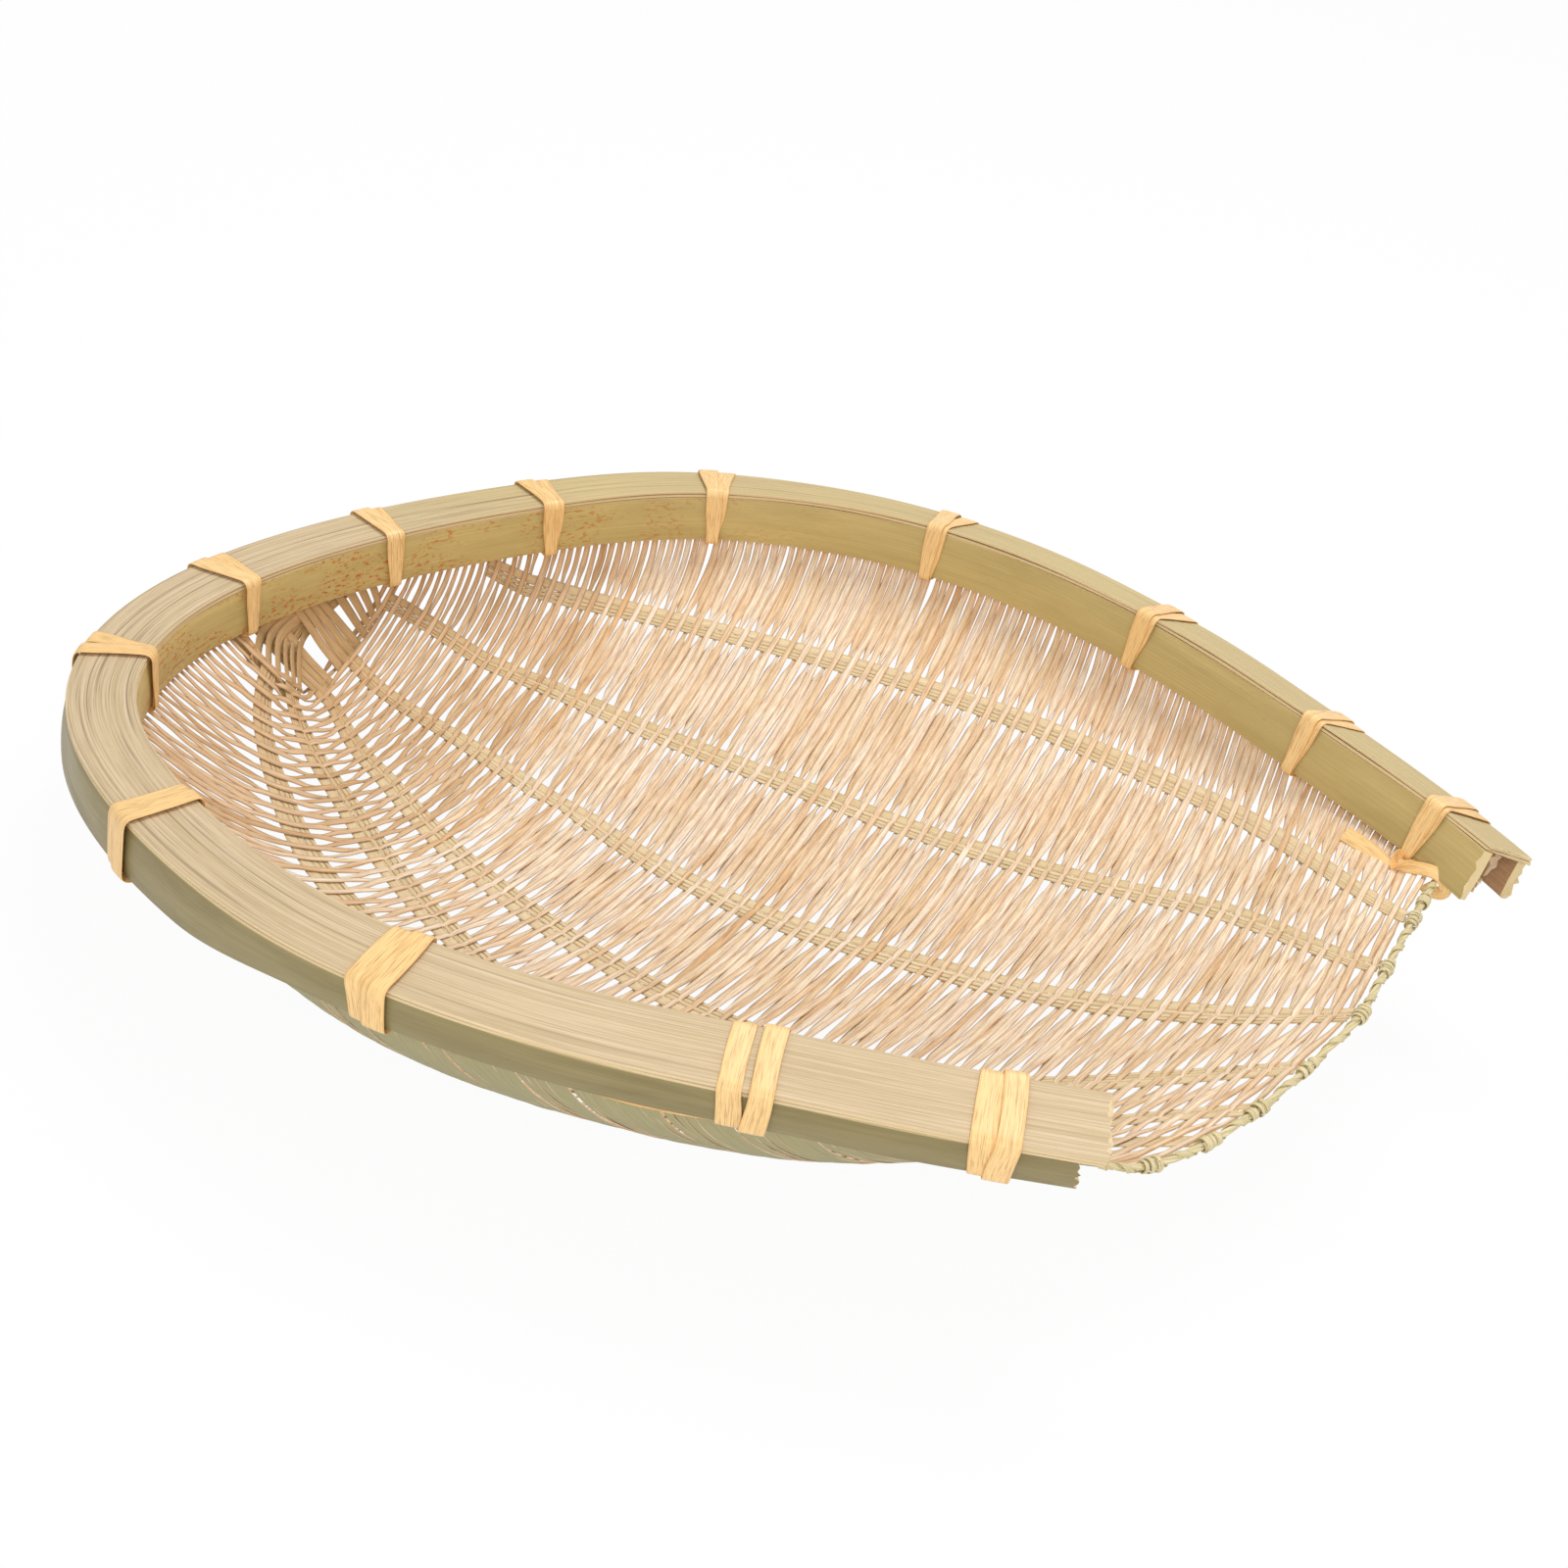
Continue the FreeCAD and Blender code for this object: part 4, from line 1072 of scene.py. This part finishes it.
def gusset_line(foot, s, level):
    """From a place under the first wefts straight up the back wall and behind the hoop."""
    top = rim_point(s, WEFT_SEAT, INNER_DEPTH)
    tuck = rim_point(s, WEFT_SEAT, INNER_DEPTH - TUCK)
    share = np.linspace(0, 1, GUSSET_STEPS)
    line = foot + (top - foot) * share[:, None]
    wall = np.array([gusset_x(y, z) for _, y, z in line])
    line[:, 0] = wall + (line[:, 0] - wall) * (1 - smooth(share * 2)) + level * smooth(share * 4)
    onward = top[1] + (top[1] - line[-2][1]) * 2
    return np.vstack([line, [[tuck[0] + level, onward, tuck[2]]]])


def gusset_band(piece, side, low, high, first, last, level, strips):
    """Strips side by side that climb the gusset."""
    rng = chance(int(first) + 60, 7)
    feet = [mat_frame(GUSSET_FOOT, side, t) for t in np.linspace(low, high, strips + 1)]
    heads = np.linspace(first, last, strips + 1)
    for i in range(strips):
        place, _, _, normal = feet[i]
        following = feet[i + 1][0]
        foot = (place + following) / 2 - normal * GUSSET_UNDER
        line = gusset_line(foot, (heads[i] + heads[i + 1]) / 2, level)
        centre = spline_through(line, GUSSET_POINTS)
        across, facing = frames_along(centre, GUSSET_FACING)
        widths = np.linspace(norm(following - place), (last - first) / strips, GUSSET_POINTS)
        widths = widths * (GUSSET_FILL[0] + GUSSET_FILL[1] * rng.random())
        number = GUSSET_NUMBER + int(first) * 5 + i
        add_strip(piece, centre, across, facing, widths, WEFT_THICKNESS, number)


def beside_rib(number, ks, middle):
    """Points and normals of the line that runs at a real distance beside a rib's middle."""
    side = rib_side(number)
    points = []
    normals = []
    for k in ks:
        t = rib_track(number, k)
        here = mat_point(k, side, t)
        away = middle * rib_spread(k)
        offset = away / (norm(here - mat_point(k, side, t - TRACK_T)) / TRACK_T)
        reached = norm(mat_point(k, side, t + offset) - here)
        offset *= abs(away) / max(reached, 1e-6)
        place, _, _, normal = mat_frame(k, side, t + offset)
        points.append(place)
        normals.append(normal)
    return np.array(points), np.array(normals)


def rib(number):
    """Narrow strips side by side, one broad and the others fine."""
    start = RIB_STARTS.get(number, RIB_START)
    stop = ROD_AT - RIB_STOP
    ks = np.linspace(start, stop, int((stop - start) / RIB_TRACK_STEP) + 1)
    spreads = np.array([[rib_spread(k)] for k in ks])
    piece = Piece()
    for index, (low, high) in enumerate(RIB_SPLITS):
        rng = chance(number + 9, index, 55)
        points, normals = beside_rib(number, ks, (low + high) / 2 * RIB_WIDTH)
        lengths = arc_lengths(points)
        at = np.linspace(0, lengths[-1], int(lengths[-1] / RIB_STEP))
        fine = spline_through(points, len(at) * 3)
        fine_lengths = arc_lengths(fine)
        centre, = resampled(np.linspace(0, fine_lengths[-1], len(at)), fine_lengths, fine)
        hint, spread = resampled(at, lengths, normals, spreads)
        across, normal = frames_along(centre, hint)
        lift = wander(rng, at, *RIB_RIPPLE) + (BROAD_LIFT if index == 0 else 0.0)
        centre = centre + normal * lift[:, None] + across * wander(rng, at, *RIB_STRAYING)[:, None]
        width = ((high - low) * RIB_WIDTH - STRIP_GAP) * spread[:, 0]
        add_strip(piece, centre, across, normal, width, RIB_THICKNESS, 40 * (number + 4) + index)
    for band in GUSSET_BANDS:
        if band[0] == number:
            gusset_band(piece, *band[1:])
    piece.make(RIBS[number], RIB, sharp=60)


for number in RIBS:
    rib(number)


# ---- mouth edge ----
# The rod along the mouth: places that its line goes through, its twisted strands, the strip
# wound round it, and the ribs' ends that turn round it.
ROD_SHARES = [0.05, 0.12, 0.2, 0.3, 0.4, 0.5, 0.6, 0.7, 0.8, 0.9]
ROD_POINTS = 400
STRAND_POINTS = 260
STRANDS = 3
STRAND = 1.5
STRAND_SIDES = 10
STRAND_OFFSET = 0.5
STRAND_LAY = 34
COIL_PITCH = 13
COIL_ENDS = 3
COIL_RADIUS = 1.35
COIL_WIDTH = 2.4
COIL_THICKNESS = 0.4
POINTS_PER_TURN = 22
LEAST_POINTS = 12
EXTRA_TURNS = [(-1, 0.34), (1, 0.20)]
TURN_STRIPS = 6
TURN_START = -3.4
TURN_STEP = 1.15
TURN_STRAY = 0.9
TURN_COUNT = (1.1, 1.5)
TURN_RADIUS = 1.7
TURN_RADIUS_RANGE = (0, 0.8)
TURN_OPENING = (-0.2, 0.3)
TURN_LEAN = (-1.2, 1.8)
TURN_WIDTH = (0.8, 1.9)


def rod_line(count):
    places = [(-1, t) for t in ROD_SHARES] + [(1, 1.0)] + [(1, t) for t in reversed(ROD_SHARES)]
    return spline_through([mat_frame(ROD_AT, side, t)[0] for side, t in places], count)


ROD = rod_line(ROD_POINTS)
ROD_LENGTHS = arc_lengths(ROD)
ROD_SIDE, ROD_NORMAL = frames_along(ROD, np.array([0.0, 0, 1.0]))


def rod_frame(at):
    return resampled(at, ROD_LENGTHS, ROD, ROD_SIDE, ROD_NORMAL)


def rod_place(side, t):
    """Arc length on the edge rod of a place on the mat's last line."""
    place = mat_frame(ROD_AT, side, t)[0]
    return ROD_LENGTHS[np.argmin(norm(ROD - place, axis=1))]


def coil_points(turns):
    return max(int(turns * POINTS_PER_TURN), LEAST_POINTS)


def add_round(piece, at, angle, radius, width, thickness, seed, profile=FLAT):
    """A strip that goes round the edge rod, at a radius and an angle for each arc length."""
    centre, side, normal = rod_frame(at)
    out = side * np.cos(angle)[:, None] + normal * np.sin(angle)[:, None]
    line = centre + out * np.broadcast_to(radius, len(at))[:, None]
    across, facing = frames_along(line, out)
    add_strip(piece, line, across, facing, width, thickness, seed, profile)


def edge_rod():
    """Three strands laid together, and a strip wound round them in long turns."""
    piece = Piece()
    total = ROD_LENGTHS[-1]
    at = np.linspace(0, total, STRAND_POINTS)
    corners = np.linspace(0, TURN, STRAND_SIDES, endpoint=False)
    round_profile = np.stack([np.cos(corners), np.sin(corners)], 1)
    for strand in range(STRANDS):
        angle = at * (TURN / STRAND_LAY) + strand * TURN / STRANDS
        add_round(piece, at, angle, STRAND_OFFSET, STRAND, STRAND, STRAND_NUMBER + strand, round_profile)
    turns = total / COIL_PITCH
    share = np.linspace(0, 1, coil_points(turns))
    at = COIL_ENDS + (total - 2 * COIL_ENDS) * share
    add_round(piece, at, turns * TURN * share, COIL_RADIUS, COIL_WIDTH, COIL_THICKNESS, COIL_NUMBER)
    piece.make("mouth_edge_rod", EDGE, sharp=60)


edge_rod()


def mouth_edge_turns():
    """Each rib's strips end in tight, fibrous turns round the edge rod."""
    piece = Piece()
    places = EXTRA_TURNS + [(rib_side(rib), rib_track(rib, ROD_AT)) for rib in RIBS]
    for index, (side, t) in enumerate(places):
        rng = chance(index, 77)
        middle = rod_place(side, t)
        for strip in range(TURN_STRIPS):
            start = middle + TURN_START + strip * TURN_STEP + rng.uniform(-TURN_STRAY, TURN_STRAY)
            turns = rng.uniform(*TURN_COUNT)
            share = np.linspace(0, 1, coil_points(turns))
            radius = TURN_RADIUS + rng.uniform(*TURN_RADIUS_RANGE) + rng.uniform(*TURN_OPENING) * share
            at = start + rng.uniform(*TURN_LEAN) * share
            width = rng.uniform(*TURN_WIDTH)
            angle = rng.uniform(0, ANY_PHASE) + turns * TURN * share
            number = TURN_NUMBER + index * 8 + strip
            add_round(piece, at, angle, radius, width, COIL_THICKNESS, number)
    piece.make("mouth_edge_turns", EDGE, sharp=60)


mouth_edge_turns()


# ---- lashings ----
# A band's line round the rim: its rounded corners and its points; its domed section, and how
# far from the rim the first and the second band of a lashing lie.
BAND_CORNER = 3.2
CORNER_POINTS = 6
BAND_POINTS = 96
BAND_PROFILE = np.array([
    (-1, 0.1), (-0.97, 0.75), (-0.8, 1), (-0.4, 1.12), (0, 1.16), (0.4, 1.12), (0.8, 1),
    (0.97, 0.75), (1, 0.1), (0.85, -0.9), (0, -1), (-0.85, -0.9),
])
BAND_HALF_THICKNESS = 0.28
BAND_CUT_FROM = 0.9
FIRST_SLACK = 0.55
SECOND_SLACK = 1.25

# The bands of a lashing come together at the foot, sooner on the inner face and, from
# FAR_SIDE_FROM on, already across the top. Their width wavers and narrows at the inner foot.
CLOSING_OUTSIDE = 0.35
CLOSING_POWER = 0.5
INNER_FACE_END = 1.6
INNER_FACE_RUN = 8.0
FAR_SIDE_FROM = -150
FAR_SIDE_CLOSING = 0.7
BAND_STRAY = 0.35
BAND_WAVER = (0.04, 0.02)
FOOT_NARROWING = 0.3
FOOT_FROM = 0.35

# The runs from one lashing to the next, under the outer hoop.
RUN_CLEARANCE = 5.6
RUN_STEP = 4
RUN_INSET = 3.8
RUN_DROP = 0.55
RUN_SAG = 0.25
RUN_STRAYING = (90, 0.8)
RUN_WIDTH = 5.0

# The knot's two crossing loops (offset along the rim, way round), the tail and the end loop.
ENDS_SHIFT = 2.0
KNOT_LOOPS = [(-1.5, 1), (1.5, -1)]
KNOT_MIDDLE = (-4.2, 26.0)
KNOT_REACH = (2.2, 2.3, 2.6)
KNOT_POINTS = 9
TAIL_STEPS = [0, 7, 14, 21, 27]
TAIL_START = (-5.8, 27.5)
TAIL_SLOPE = (-0.04, 0.03)
TAIL_WIDTHS = (3.6, 6.2)
TAIL_GROWN = 1.6
LOOP_START = (-6.2, 26.0)
LOOP_BENDS = [(0.4, (2.5, 0, 2.5)), (0.85, (5.5, 0, 1.5)), (1, (4.5, 0, -2.5)), (1, (0.5, 0, -4.0)),
              (1, (-3.0, 0, -2.5))]
ENDS_FACING = (0.35, -0.75, 0.55)
FREE_POINTS = 40


def rounded(points, radius, count):
    """A polygon's corners rounded; each corner becomes count points."""
    result = []
    for i, corner in enumerate(points):
        before = points[i - 1] - corner
        after = points[(i + 1) % len(points)] - corner
        reach = min(radius, norm(before) / 3, norm(after) / 3)
        first = corner + before / norm(before) * reach
        last = corner + after / norm(after) * reach
        for t in np.linspace(0, 1, count):
            result.append(first * (1 - t) ** 2 + corner * 2 * t * (1 - t) + last * t * t)
    return np.array(result)


def band_outline(slack):
    """The line of a band pulled round the rim, in u and v, the distance along it, and its length."""
    inside = -HOOP_BELLY - slack
    outside = RIM_WIDTH + HOOP_BELLY + slack
    corners = np.array([
        (inside, -slack), (outside, -slack), (outside, OUTER_DEPTH + slack),
        (HOOP_THICKNESS, INNER_DEPTH + slack), (inside, INNER_DEPTH + slack)])
    points = rounded(corners, BAND_CORNER, CORNER_POINTS)
    closed = np.vstack([points, points[:1]])
    lengths = arc_lengths(closed)
    at = np.linspace(0, lengths[-1], BAND_POINTS, endpoint=False)
    fine, = resampled(at, lengths, closed)
    return fine, at, lengths[-1]


def add_band(piece, s, spread, slack, seed):
    """One closed band: it crosses the rim's top at s + spread and its foot at s."""
    rng = chance(seed, 5)
    outline, at, total = band_outline(slack)
    wave = TURN * at / total
    height = np.clip(outline[:, 1] / INNER_DEPTH, 0, 1)
    inner = smooth(INNER_FACE_END - outline[:, 0] / INNER_FACE_RUN)
    closing = height ** (1 + CLOSING_POWER * inner) * (CLOSING_OUTSIDE + (1 - CLOSING_OUTSIDE) * inner)
    if s > FAR_SIDE_FROM:
        inwards = smooth(1 - outline[:, 0] / RIM_WIDTH)
        closing = closing + (1 - closing) * FAR_SIDE_CLOSING * inwards
    shift = s + spread * (1 - closing) + BAND_STRAY * np.sin(wave * 2 + rng.uniform(0, ANY_PHASE))
    waver = BAND_WAVER[0] * np.sin(wave + rng.uniform(0, ANY_PHASE)) + BAND_WAVER[1] * np.sin(3 * wave)
    narrowing = FOOT_NARROWING * smooth((height - FOOT_FROM) / (1 - FOOT_FROM)) * inner
    widths = BAND_WIDTH * (1 + waver) * (1 - narrowing)
    facing = np.gradient(np.vstack([outline[-1:], outline, outline[:1]]), axis=0)[1:-1]
    out = unit(np.stack([facing[:, 1], -facing[:, 0]], 1))
    a = BAND_PROFILE[None, :, 0] * widths[:, None] / 2
    b = BAND_PROFILE[None, :, 1] * BAND_HALF_THICKNESS
    u = outline[:, 0, None] + out[:, 0, None] * b
    v = outline[:, 1, None] + out[:, 1, None] * b
    foot = outer_flare(s) * smooth(u / RIM_WIDTH) * np.clip(v / OUTER_DEPTH, 0, 1)
    rings = rim_point(shift[:, None] + a, u + foot * FLARE_OUT, v + foot * FLARE_DOWN)
    rings = np.concatenate([rings, rings[:1]])
    a = np.concatenate([a, a[:1]])
    arcs = np.broadcast_to(np.append(at, total)[:, None], a.shape)
    grain = np.stack([arcs, a, np.full(a.shape, float(seed))], -1)
    cut = np.broadcast_to((np.abs(BAND_PROFILE[:, 0]) > BAND_CUT_FROM).astype(float), a.shape)
    piece.bar(rings, grain, cut, caps=False)


def lashings():
    for number, (s, spread) in enumerate(LASHINGS, 1):
        piece = Piece()
        add_band(piece, s, spread, FIRST_SLACK, BAND_NUMBER + 2 * number)
        add_band(piece, s, -spread, SECOND_SLACK, BAND_NUMBER + 2 * number + 1)
        piece.make("lashing_%02d" % number, LASHING, sharp=50)


lashings()


def lashing_runs():
    """The lashing strip on its way from each lashing to the next."""
    piece = Piece()
    places = [s for s, _ in LASHINGS]
    for index, (low, high) in enumerate(zip(places, places[1:])):
        start = low + RUN_CLEARANCE
        finish = high - RUN_CLEARANCE
        s = rim_stations(start, finish, RUN_STEP)
        u = RIM_WIDTH - RUN_INSET + wander(chance(index, 91), s, *RUN_STRAYING)
        v = OUTER_DEPTH + RUN_DROP + RUN_SAG * np.sin((s - start) / (finish - start) * math.pi)
        _, _, across, down = rim_axes(s)
        centre = rim_point(s, u, v)
        add_strip(piece, centre, across, down, RUN_WIDTH, WEFT_THICKNESS, RUN_NUMBER + index)
    piece.make("lashing_runs", LASHING)


lashing_runs()


def free_strip(name, lines, facing, width, thickness, seed):
    """A piece of one or more short strips, each along a smooth line through its points."""
    piece = Piece()
    for index, points in enumerate(lines):
        centre = spline_through(points, FREE_POINTS)
        side, normal = frames_along(centre, np.array(facing))
        add_strip(piece, centre, side, normal, width, thickness, seed + index)
    piece.make(name, LASHING)


def knot_and_ends():
    """The lashing strip's end: a flat knot under the hoop, a tail and a loop to the edge rod."""
    lashing = LASHINGS[-1][0]
    s = lashing + ENDS_SHIFT
    knot = []
    for offset, way in KNOT_LOOPS:
        points = []
        for angle in np.linspace(0, TURN, KNOT_POINTS):
            along = s + offset + way * KNOT_REACH[0] * math.sin(angle)
            u = KNOT_MIDDLE[0] + KNOT_REACH[1] * math.cos(angle)
            points.append(rim_point(along, u, KNOT_MIDDLE[1] + KNOT_REACH[2] * math.sin(angle)))
        knot.append(points)
    free_strip("lashing_knot", knot, rim_axes(lashing)[1], 4.5, 0.6, KNOT_NUMBER)
    tail = [
        rim_point(s - d, TAIL_START[0] + TAIL_SLOPE[0] * d, TAIL_START[1] + TAIL_SLOPE[1] * d)
        for d in TAIL_STEPS]
    grown = smooth(np.linspace(0, TAIL_GROWN, FREE_POINTS))
    widths = TAIL_WIDTHS[0] + (TAIL_WIDTHS[1] - TAIL_WIDTHS[0]) * grown
    free_strip("lashing_tail", [tail], ENDS_FACING, widths, 0.9, TAIL_NUMBER)
    start = rim_point(s, *LOOP_START)
    loop = [start] + [start + (ROD[-1] - start) * share + np.array(bend) for share, bend in LOOP_BENDS]
    free_strip("lashing_end_loop", [loop], ENDS_FACING, 4.8, 0.7, LOOP_NUMBER)


knot_and_ends()


# ---- floor, light and camera, in metres ----
FLOOR_HALF = 6.0
FLOOR_Z = -0.0004
FLOOR_GREY = 0.86
FLOOR_GLOW = 0.95
SKY_STRENGTH = 0.6
LIGHT_AIM = (0, 0, 0.05)
LAMPS = {"key": ((0.0, 0.6, 1.6), 0.7, 14.0), "fill": ((0.7, -1.5, 1.0), 1.2, 15.0)}


def floor():
    """A pale floor. The camera and reflections see it nearly white, with the object's soft shadow."""
    signs = ((-1, -1), (1, -1), (1, 1), (-1, 1))
    corners = [(x * FLOOR_HALF, y * FLOOR_HALF, FLOOR_Z) for x, y in signs]
    mesh = bpy.data.meshes.new("floor")
    mesh.from_pydata(corners, [], [(0, 1, 2, 3)])
    material = bpy.data.materials.new("floor")
    nodes = Nodes(material)
    nodes.tree.nodes.clear()
    diffuse = nodes.add("BsdfDiffuse", Color=(FLOOR_GREY, FLOOR_GREY, FLOOR_GREY, 1))
    glow = nodes.add("Emission", Strength=1.0)
    path = nodes.add("LightPath")
    seen = nodes.maths("MAXIMUM", path.outputs["Is Camera Ray"], path.outputs["Is Glossy Ray"])
    share = nodes.times(seen, FLOOR_GLOW)
    surface = nodes.add("MixShader", _0=share, _1=diffuse.outputs[0], _2=glow.outputs[0])
    nodes.add("OutputMaterial", Surface=surface.outputs[0])
    mesh.materials.append(material)
    placed("floor", mesh)


def world():
    """Even white light all round; the camera sees the sky itself as plain white."""
    background = bpy.data.worlds.new("studio")
    bpy.context.scene.world = background
    nodes = Nodes(background)
    nodes.tree.nodes.clear()
    soft = nodes.add("Background", Color=WHITE, Strength=SKY_STRENGTH)
    white = nodes.add("Background", Color=WHITE, Strength=1.0)
    seen = nodes.add("LightPath").outputs["Is Camera Ray"]
    surface = nodes.add("MixShader", _0=seen, _1=soft.outputs[0], _2=white.outputs[0])
    nodes.add("OutputWorld", Surface=surface.outputs[0])


def softbox(name, place, size, power):
    """A square lamp, aimed at the object; its power is in watts."""
    light = bpy.data.lights.new(name, "AREA")
    light.shape = "SQUARE"
    light.size = size
    light.energy = power
    lamp = placed(name, light)
    lamp.location = place
    aim = Vector(LIGHT_AIM) - Vector(place)
    lamp.rotation_euler = aim.to_track_quat("-Z", "Y").to_euler()


# The camera: distance and target are in millimetres.
CAMERA_AZIMUTH = math.radians(-63.653)
CAMERA_ELEVATION = math.radians(31.178)
CAMERA_DISTANCE = 910.82
CAMERA_ROLL = math.radians(9.515)
CAMERA_TARGET = np.array([9.41, -1.92, 59.83])
FOCAL_PIXELS = 2523.3
IMAGE_PIXELS = 1600
SENSOR = 36.0
CLIP = (0.01, 50)


def camera():
    """The photograph's viewing angle: the basket from above its near side, slightly rolled."""
    level = math.cos(CAMERA_ELEVATION)
    direction = np.array([
        level * math.cos(CAMERA_AZIMUTH), level * math.sin(CAMERA_AZIMUTH), math.sin(CAMERA_ELEVATION)])
    right = unit(np.cross(-direction, [0, 0, 1]))
    up = np.cross(right, -direction)
    turned_right = right * math.cos(CAMERA_ROLL) + up * math.sin(CAMERA_ROLL)
    turned_up = -right * math.sin(CAMERA_ROLL) + up * math.cos(CAMERA_ROLL)
    data = bpy.data.cameras.new("camera")
    data.sensor_width = SENSOR
    data.lens = FOCAL_PIXELS * SENSOR / IMAGE_PIXELS
    data.clip_start, data.clip_end = CLIP
    place = (CAMERA_TARGET + direction * CAMERA_DISTANCE) * MM
    rows = np.eye(4)
    rows[:3] = np.stack([turned_right, turned_up, direction, place], 1)
    eye = placed("camera", data)
    eye.matrix_world = Matrix(rows.tolist())
    bpy.context.scene.camera = eye


floor()
world()
for lamp_name, (lamp_place, lamp_size, lamp_power) in LAMPS.items():
    softbox(lamp_name, lamp_place, lamp_size, lamp_power)
camera()
bpy.context.scene.view_settings.view_transform = "Standard"
